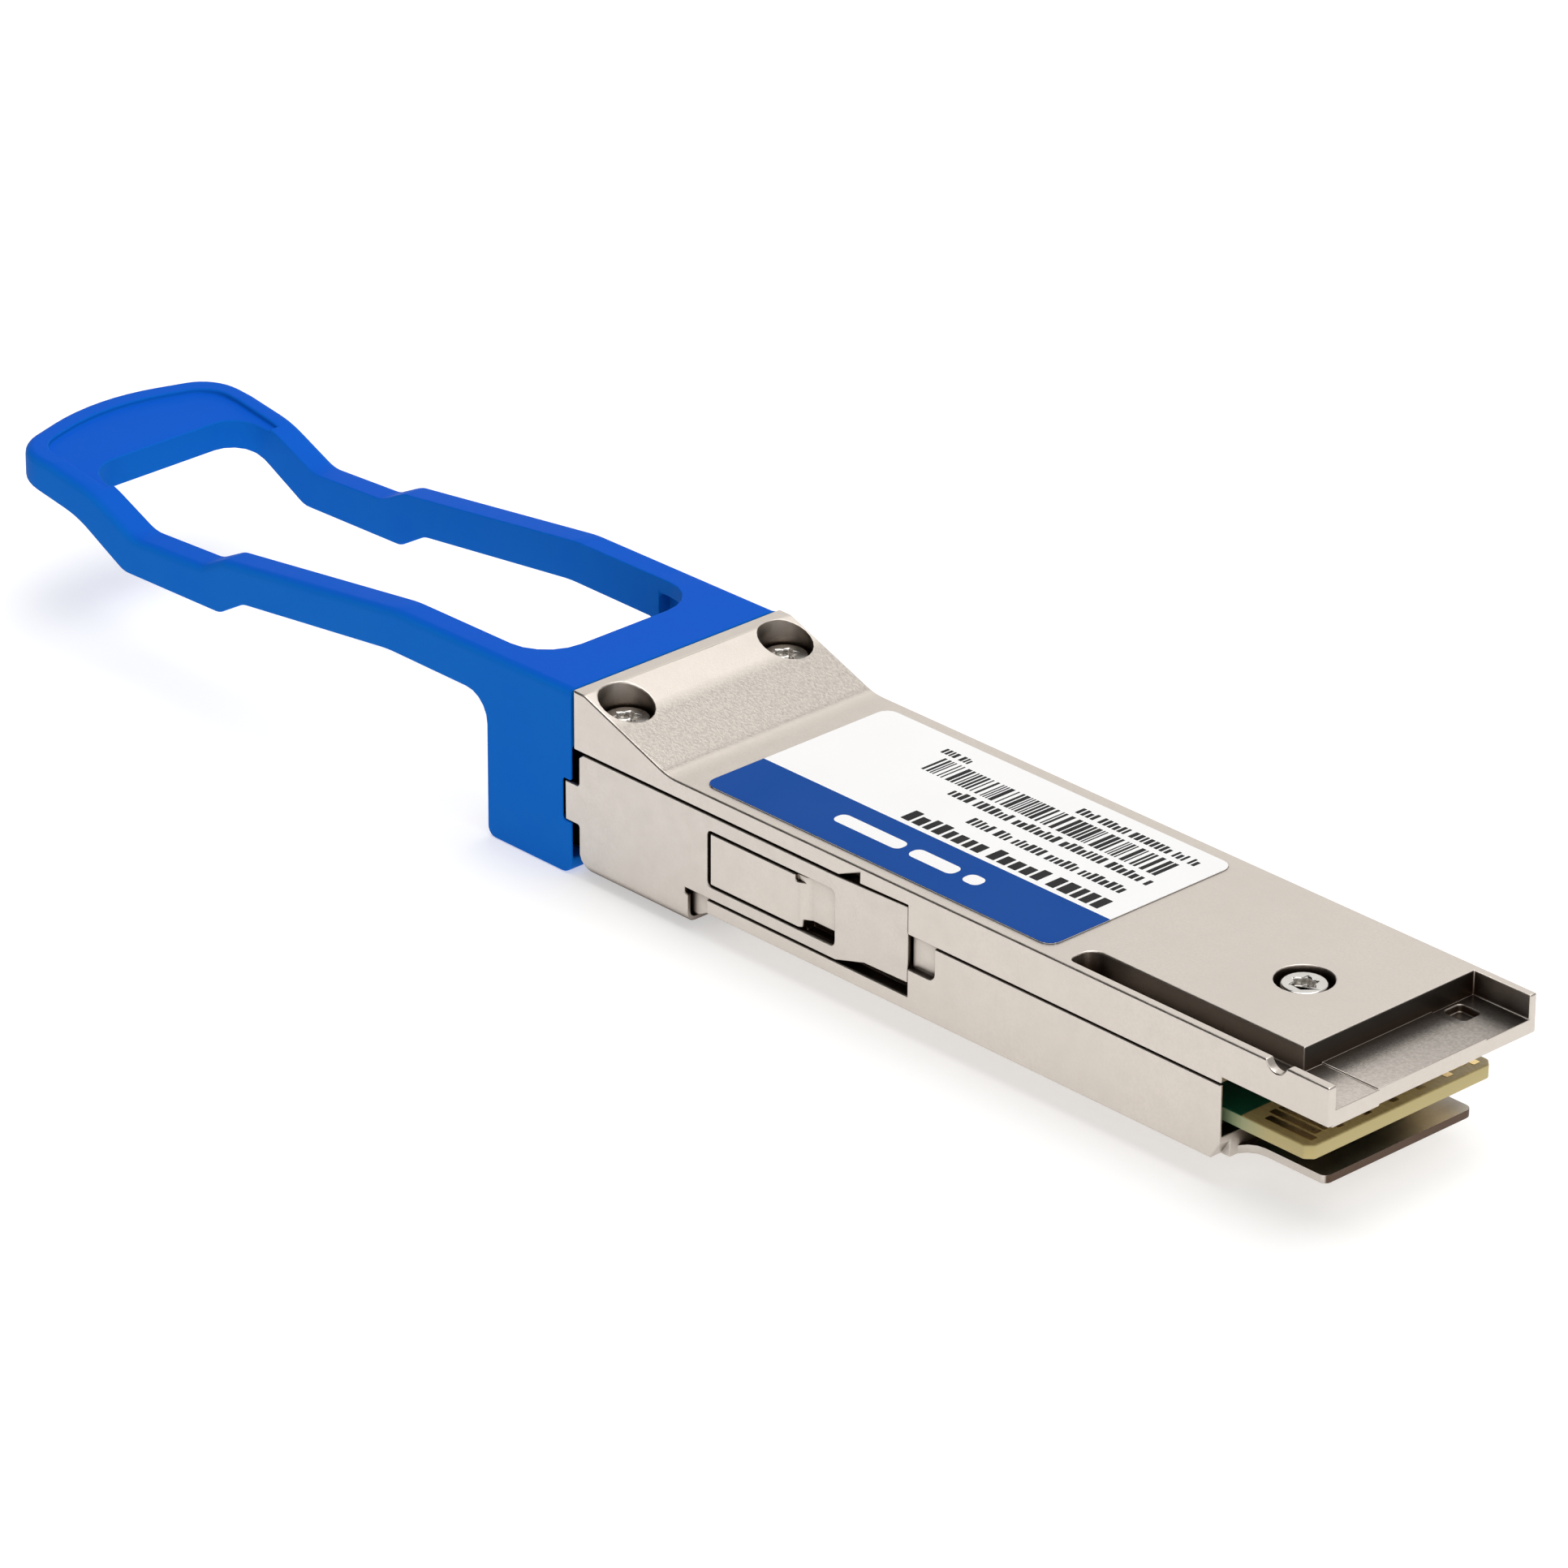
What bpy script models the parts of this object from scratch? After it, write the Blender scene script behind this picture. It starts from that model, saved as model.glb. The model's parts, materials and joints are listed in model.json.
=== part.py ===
"""Pluggable optical transceiver module with duplex LC ports and a sprung pull tab.

Lengths in this file are millimetres in the module's own frame, and `place` turns them into world metres:
x runs along the module and is 0 at the end of the card-edge connector, negative towards the pull tab,
y runs across it and is 0 on the centre line,
z runs up from the underside of the slim body that enters the cage.
World +X is towards the card edge, and the world origin is under the middle of the whole module.
"""

import math

import bmesh
import bpy
from mathutils import Vector

# Overall module
BODY_HALF_WIDTH = 9.175
BODY_TOP = 8.5
TAB_END = -126.4
COLLAR_BOTTOM = -1.9
MILLIMETRE = 0.001
X_SHIFT = -TAB_END / 2
Z_SHIFT = -COLLAR_BOTTOM

# Castings
SEAM = 5.35
SEAM_GAP = 0.1
BASE_END = -8.85
BASE_FLOOR = 1.0
MOUTH_RELIEF = 1.2
MOUTH_HALF_WIDTH = BODY_HALF_WIDTH - 0.25
LIP_END = -2.45
LIP_HALF_WIDTH = 6.55
LIP_ROOT_HALF_WIDTH = 8.15
LIP_THICKNESS = 0.6
HEAD_FRONT = -67.1
HEAD_TOP = 11.45
HEAD_BOTTOM = -0.9
HEAD_RAMP_START = -56.1
HEAD_RAMP_END = -54.4
SLOPE_TOP_X = -66.0
SLOPE_FOOT_X = -58.0
COVER_CEILING = 7.2
NOSE_FRONT = -73.6
NOSE_HALF_WIDTH = 7.9
NOSE_TOP = 9.7
NOSE_BOTTOM = -0.5
OPTICS_BAY_FRONT = -63.2
OPTICS_BAY_HALF_WIDTH = 6.6
BOARD_BAY_FRONT = -34.0
BOARD_BAY_HALF_WIDTH = 7.5

# Connector end of the top cover
END_BLOCK = -4.65
END_FLOOR = 6.85
END_UNDERSIDE = 5.85
SLOT_START = -22.6
SLOT_NEAR = -8.5
SLOT_FAR = -6.4
REAR_SCREW = (-10.9, 0.15)
HEAD_SCREW_X = -64.4
HEAD_SCREW_Y = {-1: -6.9, 1: 7.15}

# Duplex LC ports
PORT_PITCH = 6.25
PORT_Y = PORT_PITCH / 2
PORT_Z = 4.3
PORT_HALF = 2.35
PORT_BACK = -65.6
LATCH_HALF_WIDTH = 1.6
LATCH_TOP = 9.0
BARREL_RADIUS = 1.45

# Release slider and its channel
SHEET = 0.35
CHANNEL_DEPTH = 0.485
CHANNEL_HALF_WIDTH = BODY_HALF_WIDTH - CHANNEL_DEPTH
SLIDER_FRONT = -66.5
SLIDER_TOP = 7.15
SLIDER_LOWER_EDGE = 1.2
SLIDER_GAP = 0.15
SLIDER_BOTTOM = -1.3
SLIDER_FOOT_X = -56.2
ARM_STEP_X = -42.5
ARM_FOLD_X = -40.0
ARM_TIP_X = -36.1
WINDOW_LEFT = -54.35
WINDOW_RIGHT = -42.6
WINDOW_BOTTOM = 2.1
WINDOW_TOP = 6.05
POCKET_RIGHT = -36.0
SMALL_POCKET_RIGHT = -33.6
SMALL_POCKET_HALF_WIDTH = 8.7
FRONT_RECESS_BACK = -66.4
POCKET_HALF_WIDTH = 8.2
BOSS_LEFT = -54.05
BOSS_RIGHT = -45.0
BOSS_PAD_RIGHT = -42.7

# Return springs
SPRING_Y = 8.0
SPRING_Z = 1.0
SPRING_FRONT = -65.4
SPRING_BACK = -59.45
SPRING_RADIUS = 0.5
SPRING_WIRE = 0.1
SPRING_TURNS = 8

# Pull tab
COLLAR_BACK = -67.3
COLLAR_FRONT = -75.45
COLLAR_TOP = 11.4
COLLAR_HOLE_HALF_WIDTH = 8.1
COLLAR_HOLE_BOTTOM = -0.75
COLLAR_HOLE_TOP = 10.05
TAB_WINDOW_BACK = -72.2
TAB_WINDOW_FRONT = -119.3
TAB_ARM_INNER = 7.0
THUMB_REST_DEPTH = 0.35
END_BOW = 2.75
END_BOW_RADIUS = 16.0
END_CORNER_RADIUS = 3.4

# Circuit board
BOARD_BOTTOM = 2.25
BOARD_TOP = 3.25
BOARD_END = -2.3
BOARD_FRONT = -46.0
CARD_EDGE_HALF_WIDTH = 8.2
CARD_EDGE_START = -11.6
SOLDER_GAP = 0.05


def place(x, y, z):
    """World position in metres of a point of the module's frame."""
    return Vector((x + X_SHIFT, y, z + Z_SHIFT)) * MILLIMETRE


def clear_scene():
    for old in list(bpy.data.objects):
        bpy.data.objects.remove(old, do_unlink=True)


def material(name, colour, roughness, metallic):
    made = bpy.data.materials.new(name)
    made.use_nodes = True
    shader = made.node_tree.nodes["Principled BSDF"]
    shader.inputs["Base Color"].default_value = (*colour, 1.0)
    shader.inputs["Roughness"].default_value = roughness
    shader.inputs["Metallic"].default_value = metallic
    return made


def new_object(name, shape):
    """Turns a bmesh whose points are in millimetres into a linked object."""
    bmesh.ops.recalc_face_normals(shape, faces=shape.faces)
    for vertex in shape.verts:
        vertex.co = place(*vertex.co)
    mesh = bpy.data.meshes.new(name)
    shape.to_mesh(mesh)
    shape.free()
    made = bpy.data.objects.new(name, mesh)
    bpy.context.scene.collection.objects.link(made)
    return made


def rounded(corners, steps=4):
    """Closed outline of (u, v) or (u, v, radius) corners, with an arc of `steps` parts at each radius."""
    outline = []
    count = len(corners)
    for index, corner in enumerate(corners):
        point = Vector(corner[:2])
        radius = corner[2] if len(corner) > 2 else 0.0
        if radius == 0.0:
            outline.append(tuple(point))
            continue
        towards_last = (Vector(corners[index - 1][:2]) - point).normalized()
        towards_next = (Vector(corners[(index + 1) % count][:2]) - point).normalized()
        half_angle = towards_last.angle(towards_next) / 2
        centre = point + (towards_last + towards_next).normalized() * radius / math.sin(half_angle)
        start = point + towards_last * radius / math.tan(half_angle) - centre
        end = point + towards_next * radius / math.tan(half_angle) - centre
        sweep = math.atan2(start.x * end.y - start.y * end.x, start.dot(end))
        for step in range(steps + 1):
            turn = sweep * step / steps
            outline.append((
                centre.x + start.x * math.cos(turn) - start.y * math.sin(turn),
                centre.y + start.x * math.sin(turn) + start.y * math.cos(turn),
            ))
    return outline


def prism(name, outline, axis, low, high):
    """Extrudes an outline along "x", "y" or "z"; the outline's two values are the other two axes in order."""
    shape = bmesh.new()
    rings = []
    for level in (low, high):
        ring = []
        for u, v in outline:
            point = {"x": (level, u, v), "y": (u, level, v), "z": (u, v, level)}[axis]
            ring.append(shape.verts.new(point))
        rings.append(ring)
    shape.faces.new(rings[0])
    shape.faces.new(rings[1])
    for index in range(len(outline)):
        following = (index + 1) % len(outline)
        shape.faces.new((rings[0][index], rings[0][following], rings[1][following], rings[1][index]))
    return new_object(name, shape)


def block(name, x_span, y_span, z_span):
    outline = [(x_span[0], y_span[0]), (x_span[1], y_span[0]), (x_span[1], y_span[1]), (x_span[0], y_span[1])]
    return prism(name, outline, "z", *z_span)


def rounded_block(name, x_span, y_span, z_span, radius):
    """A block whose four upright edges are rounded."""
    corners = [(x, y, radius) for x, y in (
        (x_span[0], y_span[0]), (x_span[1], y_span[0]), (x_span[1], y_span[1]), (x_span[0], y_span[1]))]
    return prism(name, rounded(corners), "z", *z_span)


def circle(centre_u, centre_v, radius, sides=24):
    return [
        (centre_u + radius * math.cos(2 * math.pi * step / sides),
         centre_v + radius * math.sin(2 * math.pi * step / sides))
        for step in range(sides)
    ]


def boolean(target, other, operation):
    """Cuts, joins or intersects at once, and removes the other object."""
    modifier = target.modifiers.new("shape", "BOOLEAN")
    modifier.operation = operation
    modifier.solver = "EXACT"
    modifier.object = other
    view_layer = bpy.context.view_layer
    view_layer.update()
    evaluated = target.evaluated_get(bpy.context.evaluated_depsgraph_get())
    result = bpy.data.meshes.new_from_object(evaluated)
    result.name = target.name
    target.modifiers.clear()
    target.data = result
    bpy.data.objects.remove(other, do_unlink=True)


def cut(target, *cutters):
    for cutter in cutters:
        boolean(target, cutter, "DIFFERENCE")


def join(target, *additions):
    for addition in additions:
        boolean(target, addition, "UNION")


def finish(piece, surface, smooth=False):
    piece.data.materials.clear()
    piece.data.materials.append(surface)
    for face in piece.data.polygons:
        face.material_index = 0
    if smooth:
        piece.data.shade_smooth()
        piece.data.set_sharp_from_angle(angle=math.radians(35))
    return piece


def turned(name, profile, centre_y, centre_z, sides=24):
    """Closed ring of (x, radius) profile points turned about an axis along x."""
    shape = bmesh.new()
    rings = []
    for x, radius in profile:
        if radius == 0.0:
            rings.append([shape.verts.new((x, centre_y, centre_z))])
        else:
            rings.append([shape.verts.new((x, y, z)) for y, z in circle(centre_y, centre_z, radius, sides)])
    for index in range(len(rings) - 1):
        first, second = rings[index], rings[index + 1]
        for side in range(sides):
            after = (side + 1) % sides
            if len(first) == 1:
                shape.faces.new((first[0], second[side], second[after]))
            elif len(second) == 1:
                shape.faces.new((first[side], first[after], second[0]))
            else:
                shape.faces.new((first[side], first[after], second[after], second[side]))
    return new_object(name, shape)


def port_cutters(label):
    """The space of both LC plugs, with their latch slots and the holes for the optical barrels."""
    cutters = []
    for side, y in (("near", -PORT_Y), ("far", PORT_Y)):
        cutters.append(block(
            f"{label}_{side}_port", (NOSE_FRONT - 1, PORT_BACK),
            (y - PORT_HALF, y + PORT_HALF), (PORT_Z - PORT_HALF, PORT_Z + PORT_HALF)))
        cutters.append(block(
            f"{label}_{side}_latch", (NOSE_FRONT - 1, PORT_BACK),
            (y - LATCH_HALF_WIDTH, y + LATCH_HALF_WIDTH), (PORT_Z, LATCH_TOP)))
        cutters.append(prism(
            f"{label}_{side}_barrel", circle(y, PORT_Z, BARREL_RADIUS + 0.1), "x",
            PORT_BACK - 0.5, OPTICS_BAY_FRONT + 0.5))
    return cutters


def top_cover(surface):
    profile = rounded([
        (HEAD_FRONT, SEAM + SEAM_GAP / 2),
        (BASE_END, SEAM + SEAM_GAP / 2),
        (BASE_END, END_UNDERSIDE),
        (0.0, END_UNDERSIDE),
        (0.0, BODY_TOP),
        (SLOPE_FOOT_X, BODY_TOP, 5.0),
        (SLOPE_TOP_X, HEAD_TOP, 0.8),
        (HEAD_FRONT, HEAD_TOP),
    ], steps=6)
    cover = prism("top_cover", profile, "y", -BODY_HALF_WIDTH, BODY_HALF_WIDTH)
    below = SEAM - 1
    cut(
        cover,
        block("optics_bay", (OPTICS_BAY_FRONT, BOARD_BAY_FRONT),
              (-OPTICS_BAY_HALF_WIDTH, OPTICS_BAY_HALF_WIDTH), (below, COVER_CEILING)),
        block("board_bay", (BOARD_BAY_FRONT - 1, END_BLOCK - 0.9),
              (-5.8, BOARD_BAY_HALF_WIDTH), (below, COVER_CEILING)),
        block("end_recess", (END_BLOCK, 1.0), (SLOT_NEAR, 8.6), (END_FLOOR, BODY_TOP + 1)),
        prism("slot", rounded([
            (SLOT_START, SLOT_NEAR, 0.5), (END_BLOCK + 0.5, SLOT_NEAR),
            (END_BLOCK + 0.5, SLOT_FAR), (SLOT_START, SLOT_FAR, 0.9)]), "z", END_FLOOR, BODY_TOP + 1),
        prism("wall_notch", circle(-4.35, BODY_TOP + 0.25, 0.9), "y", -BODY_HALF_WIDTH - 1, SLOT_NEAR + 0.2),
        rounded_block("floor_pocket", (-4.35, -2.6), (5.55, 7.1), (END_FLOOR - 0.5, END_FLOOR + 0.5), 0.3),
        *port_cutters("cover"),
    )
    join(
        cover,
        block("end_floor_step", (END_BLOCK - 0.3, 0.0), (-4.8, 4.8), (END_FLOOR - 0.2, END_FLOOR + 0.1)),
        block("underside_rib", (END_BLOCK, 0.0), (-8.8, -4.65), (END_UNDERSIDE - 0.12, END_UNDERSIDE + 0.2)),
        prism("rear_screw_boss", circle(*REAR_SCREW, 2.6), "z", SEAM + SEAM_GAP / 2, COVER_CEILING + 0.3),
    )
    for side in (-1, 1):
        outside = side * (BODY_HALF_WIDTH + 1)
        cut(
            cover,
            prism("slider_channel", [
                (HEAD_FRONT - 1, below), (POCKET_RIGHT, below), (POCKET_RIGHT, SLIDER_TOP + 0.3),
                (ARM_STEP_X, SLIDER_TOP + SLIDER_GAP), (HEAD_FRONT - 1, SLIDER_TOP + SLIDER_GAP)],
                "y", side * CHANNEL_HALF_WIDTH, outside),
            prism("tip_pocket", [
                (ARM_STEP_X, below), (POCKET_RIGHT, below), (POCKET_RIGHT, SLIDER_TOP + 0.3),
                (ARM_STEP_X, SLIDER_TOP + SLIDER_GAP)], "y", side * POCKET_HALF_WIDTH, outside),
            block("boss_room", (BOSS_LEFT - 0.1, ARM_STEP_X + 0.1), sorted((side * 7.7, outside)),
                  (below, WINDOW_TOP - 0.05)),
            prism("edge_notch", [
                (ARM_STEP_X, SLIDER_TOP - 0.2), (-40.35, SLIDER_TOP - 0.2), (-40.35, BODY_TOP - 0.4),
                (ARM_STEP_X, SLIDER_TOP + 0.05)], "y", side * 8.4, outside),
            block("front_recess", (HEAD_FRONT - 1, FRONT_RECESS_BACK), sorted((side * 8.0, outside)),
                  (below, SLIDER_TOP + SLIDER_GAP)),
            prism("head_counterbore", circle(HEAD_SCREW_X, HEAD_SCREW_Y[side], 1.85),
                  "z", 8.6, HEAD_TOP + 1),
            prism("head_screw_hole", circle(HEAD_SCREW_X, HEAD_SCREW_Y[side], 1.0, 16), "z", below, 9.0),
        )
    cut(
        cover,
        prism("rear_counterbore", circle(*REAR_SCREW, 1.92), "z", 7.2, BODY_TOP + 1),
        prism("rear_screw_hole", circle(*REAR_SCREW, 1.0, 16), "z", below, 7.5),
    )
    return finish(cover, surface, smooth=True)


def base_housing(surface):
    top = SEAM - SEAM_GAP / 2
    body = block("base_housing", (HEAD_RAMP_END, BASE_END), (-BODY_HALF_WIDTH, BODY_HALF_WIDTH), (0.0, top))
    for side in (-1, 1):
        outside = side * (BODY_HALF_WIDTH + 1)
        cut(
            body,
            block("slider_channel", (HEAD_RAMP_END - 1, POCKET_RIGHT),
                  sorted((side * CHANNEL_HALF_WIDTH, outside)), (SLIDER_LOWER_EDGE - 0.12, top + 1)),
            block("tip_pocket", (ARM_STEP_X, POCKET_RIGHT),
                  sorted((side * POCKET_HALF_WIDTH, outside)), (SLIDER_LOWER_EDGE - 0.12, top + 1)),
            prism("small_pocket", rounded([
                (POCKET_RIGHT - 1.5, 3.0), (SMALL_POCKET_RIGHT, 3.0, 0.5), (SMALL_POCKET_RIGHT, top + 1),
                (POCKET_RIGHT - 1.5, top + 1)]), "y", side * SMALL_POCKET_HALF_WIDTH, outside),
        )
    join(
        body,
        prism("head", [
            (HEAD_FRONT, HEAD_BOTTOM), (HEAD_RAMP_START, HEAD_BOTTOM), (HEAD_RAMP_END, 0.0),
            (HEAD_RAMP_END + 1, 0.0), (HEAD_RAMP_END + 1, top), (HEAD_FRONT, top)],
            "y", -CHANNEL_HALF_WIDTH, CHANNEL_HALF_WIDTH),
        block("nose", (NOSE_FRONT, HEAD_FRONT - 0.05), (-NOSE_HALF_WIDTH, NOSE_HALF_WIDTH),
              (NOSE_BOTTOM, NOSE_TOP)),
        block("nose_root", (HEAD_FRONT - 1, HEAD_FRONT + 1), (-NOSE_HALF_WIDTH, NOSE_HALF_WIDTH),
              (NOSE_BOTTOM, top)),
        prism("card_edge_lip", rounded([
            (BASE_END - 1.5, -LIP_ROOT_HALF_WIDTH), (BASE_END - 0.1, -LIP_ROOT_HALF_WIDTH),
            (BASE_END - 0.1, -LIP_HALF_WIDTH, 1.5), (LIP_END, -LIP_HALF_WIDTH, 0.5),
            (LIP_END, LIP_HALF_WIDTH, 0.5), (BASE_END - 0.1, LIP_HALF_WIDTH, 1.5),
            (BASE_END - 0.1, LIP_ROOT_HALF_WIDTH), (BASE_END - 1.5, LIP_ROOT_HALF_WIDTH)]),
            "z", 0.0, LIP_THICKNESS),
    )
    for side in (-1, 1):
        join(body, prism("window_boss", [(x, side * y) for x, y in (
            (BOSS_LEFT, 7.8), (BOSS_PAD_RIGHT, 7.8), (BOSS_PAD_RIGHT, CHANNEL_HALF_WIDTH),
            (BOSS_RIGHT, CHANNEL_HALF_WIDTH), (BOSS_RIGHT - 0.9, BODY_HALF_WIDTH),
            (BOSS_LEFT, BODY_HALF_WIDTH))],
            "z", WINDOW_BOTTOM + 0.15, WINDOW_TOP - 0.15))
    above = top + 1
    cut(
        body,
        block("optics_bay", (OPTICS_BAY_FRONT, BOARD_FRONT - 0.5),
              (-OPTICS_BAY_HALF_WIDTH, OPTICS_BAY_HALF_WIDTH), (BASE_FLOOR, above)),
        block("narrow_board_bay", (BOARD_FRONT - 1, BOARD_BAY_FRONT + 0.5),
              (-OPTICS_BAY_HALF_WIDTH, OPTICS_BAY_HALF_WIDTH), (BOARD_BOTTOM - 0.05, above)),
        block("wide_board_bay", (BOARD_BAY_FRONT, BASE_END + 1),
              (-BOARD_BAY_HALF_WIDTH, BOARD_BAY_HALF_WIDTH), (BOARD_BOTTOM - 0.05, above)),
        block("card_edge_mouth", (CARD_EDGE_START - 0.3, BASE_END + 1),
              (-CARD_EDGE_HALF_WIDTH - 0.15, CARD_EDGE_HALF_WIDTH + 0.15), (BOARD_BOTTOM - 0.05, above)),
        block("mouth_relief", (BASE_END - MOUTH_RELIEF, BASE_END + 1), (-MOUTH_HALF_WIDTH, MOUTH_HALF_WIDTH),
              (1.7, above)),
        block("under_board", (BOARD_FRONT - 1, BASE_END + 1), (-5.9, 5.9), (BASE_FLOOR, above)),
        *port_cutters("base"),
    )
    join(body, prism("rear_screw_boss", circle(*REAR_SCREW, 2.0), "z", BASE_FLOOR - 0.5, BOARD_BOTTOM - 0.05))
    cut(body, prism("rear_screw_hole", circle(*REAR_SCREW, 0.9, 16), "z", 0.4, above))
    for side in (-1, 1):
        outside = side * (BODY_HALF_WIDTH + 1)
        cut(
            body,
            block("spring_pocket", (SPRING_FRONT - 0.1, SPRING_BACK + 2.6), sorted((side * 7.3, outside)),
                  (SPRING_Z - 0.8, SPRING_Z + 0.8)),
            prism("head_screw_hole", circle(HEAD_SCREW_X, HEAD_SCREW_Y[side], 0.9, 16), "z", 2.2, above),
            block("gasket_groove", (-33.0, -13.0), sorted((side * 8.05, side * 8.65)), (4.8, above)),
            prism("end_corner", [(BASE_END - 0.85, -0.1), (BASE_END + 0.05, 1.3), (BASE_END + 1, 1.3),
                                 (BASE_END + 1, -0.1)], "y", side * (LIP_ROOT_HALF_WIDTH + 0.05), outside),
            block("front_recess", (HEAD_FRONT - 1, FRONT_RECESS_BACK), sorted((side * 8.0, outside)),
                  (HEAD_BOTTOM + 0.5, above)),
            block("boss_shadow", (BOSS_RIGHT - 0.6, BOSS_PAD_RIGHT + 0.05), sorted((side * 8.0, outside)),
                  (WINDOW_BOTTOM - 0.1, WINDOW_BOTTOM + 0.7)),
            prism("head_edge", [
                (side * (CHANNEL_HALF_WIDTH - 0.4), HEAD_BOTTOM - 0.1), (outside, HEAD_BOTTOM - 0.1),
                (outside, HEAD_BOTTOM + 0.4), (side * (CHANNEL_HALF_WIDTH + 0.1), HEAD_BOTTOM + 0.4)],
                "x", HEAD_FRONT - 1, HEAD_RAMP_END - 0.9),
        )
    return finish(body, surface, smooth=True)


def slider_arm_plan(side):
    """Plan of one arm: it leaves the collar inside the moulding, steps out to the side and in at the tip."""
    outer = BODY_HALF_WIDTH
    inner = outer - SHEET
    tongue_outer = outer - 0.4
    tongue_inner = tongue_outer - SHEET
    tip_outer = outer - 0.12
    tip_inner = tip_outer - SHEET
    points = [
        (-72.0, tongue_inner), (-67.9, tongue_inner), (-67.6, inner), (ARM_STEP_X, inner),
        (ARM_FOLD_X, tip_inner), (ARM_TIP_X, tip_inner), (ARM_TIP_X, tip_outer), (ARM_FOLD_X, tip_outer),
        (ARM_STEP_X, outer), (-67.8, outer), (-68.1, tongue_outer), (-72.0, tongue_outer),
    ]
    return [(x, side * y) for x, y in points]


def slider_arm_face():
    """Side view of one arm, from the tongue in the collar to the tip."""
    return rounded([
        (-72.5, 2.0), (-67.7, 2.0), (SLIDER_FRONT, 2.0, 0.2), (SLIDER_FRONT, 0.0), (SLIDER_FOOT_X, 0.0),
        (SLIDER_FOOT_X, 0.75), (SLIDER_FOOT_X - 0.3, 0.85), (SLIDER_FOOT_X - 0.3, SLIDER_LOWER_EDGE),
        (ARM_STEP_X, SLIDER_LOWER_EDGE), (ARM_FOLD_X, 1.85), (ARM_TIP_X + 1, 1.95),
        (ARM_TIP_X + 1, SLIDER_TOP + 0.15), (ARM_FOLD_X, SLIDER_TOP), (SLIDER_FRONT + 0.4, SLIDER_TOP),
        (SLIDER_FRONT, SLIDER_TOP - 0.3), (SLIDER_FRONT, 4.8, 0.2), (-67.7, 4.8), (-72.5, 4.8),
    ], steps=3)


def release_slider(surface):
    """Folded sheet: a web under the head, an arm up each side and a lug that pushes each return spring."""
    half = BODY_HALF_WIDTH
    fold = 0.7
    web = prism("release_slider", rounded([
        (-half, 0.5), (-half, SLIDER_BOTTOM, fold), (half, SLIDER_BOTTOM, fold), (half, 0.5),
        (half - SHEET, 0.5), (half - SHEET, SLIDER_BOTTOM + SHEET, fold - SHEET),
        (SHEET - half, SLIDER_BOTTOM + SHEET, fold - SHEET), (SHEET - half, 0.5)]),
        "x", SLIDER_FRONT, SLIDER_FOOT_X)
    cut(web, prism("front_corner", [
        (SLIDER_FRONT - 1, -0.05), (SLIDER_FRONT, -0.05), (SLIDER_FRONT + 0.15, -0.45),
        (SLIDER_FRONT + 0.75, -1.05), (SLIDER_FRONT + 1.5, SLIDER_BOTTOM - 0.1),
        (SLIDER_FRONT - 1, SLIDER_BOTTOM - 0.1)], "y", -half - 1, half + 1))
    for side in (-1, 1):
        arm = prism("arm", slider_arm_plan(side), "z", -0.5, BODY_TOP)
        boolean(arm, prism("arm_face", slider_arm_face(), "y", side * 7.5, side * 10.0), "INTERSECT")
        cut(arm, prism("arm_window", rounded([
            (WINDOW_LEFT, WINDOW_BOTTOM, 0.35), (WINDOW_RIGHT, WINDOW_BOTTOM, 0.35),
            (WINDOW_RIGHT, WINDOW_TOP, 0.35), (WINDOW_LEFT, WINDOW_TOP, 0.35)], steps=3),
            "y", side * 7.5, side * 10.0))
        join(web, arm)
        join(web, block("spring_lug", (SPRING_BACK + 0.05, SPRING_BACK + 0.05 + SHEET),
                        sorted((side * 7.5, side * (half - SHEET / 2))), (SPRING_Z - 0.6, SPRING_Z + 0.6)))
    return finish(web, surface, smooth=True)


def tab_profile():
    """Side view of the pull tab: collar plate, sloping arms, a jog down and the raised finger loop."""
    return rounded([
        (COLLAR_BACK, COLLAR_BOTTOM, 0.9), (COLLAR_BACK, COLLAR_TOP), (-84.5, 11.2, 12.0),
        (-102.2, 8.9, 2.2), (-104.5, 7.75, 2.2), (-111.6, 7.35, 3.0), (-116.2, 9.35, 9.0),
        (-120.5, 9.95, 8.0), (TAB_END - 1, 10.35), (TAB_END - 1, 8.4), (-122.3, 7.75, 6.0),
        (-117.6, 7.05, 8.0), (-112.7, 4.6, 2.0), (-102.6, 4.9, 1.6),
        (-100.1, 6.35, 1.8), (-85.3, 8.15, 12.0), (COLLAR_FRONT, 8.15, 2.0),
        (COLLAR_FRONT, COLLAR_BOTTOM, 0.7),
    ], steps=5)


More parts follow.
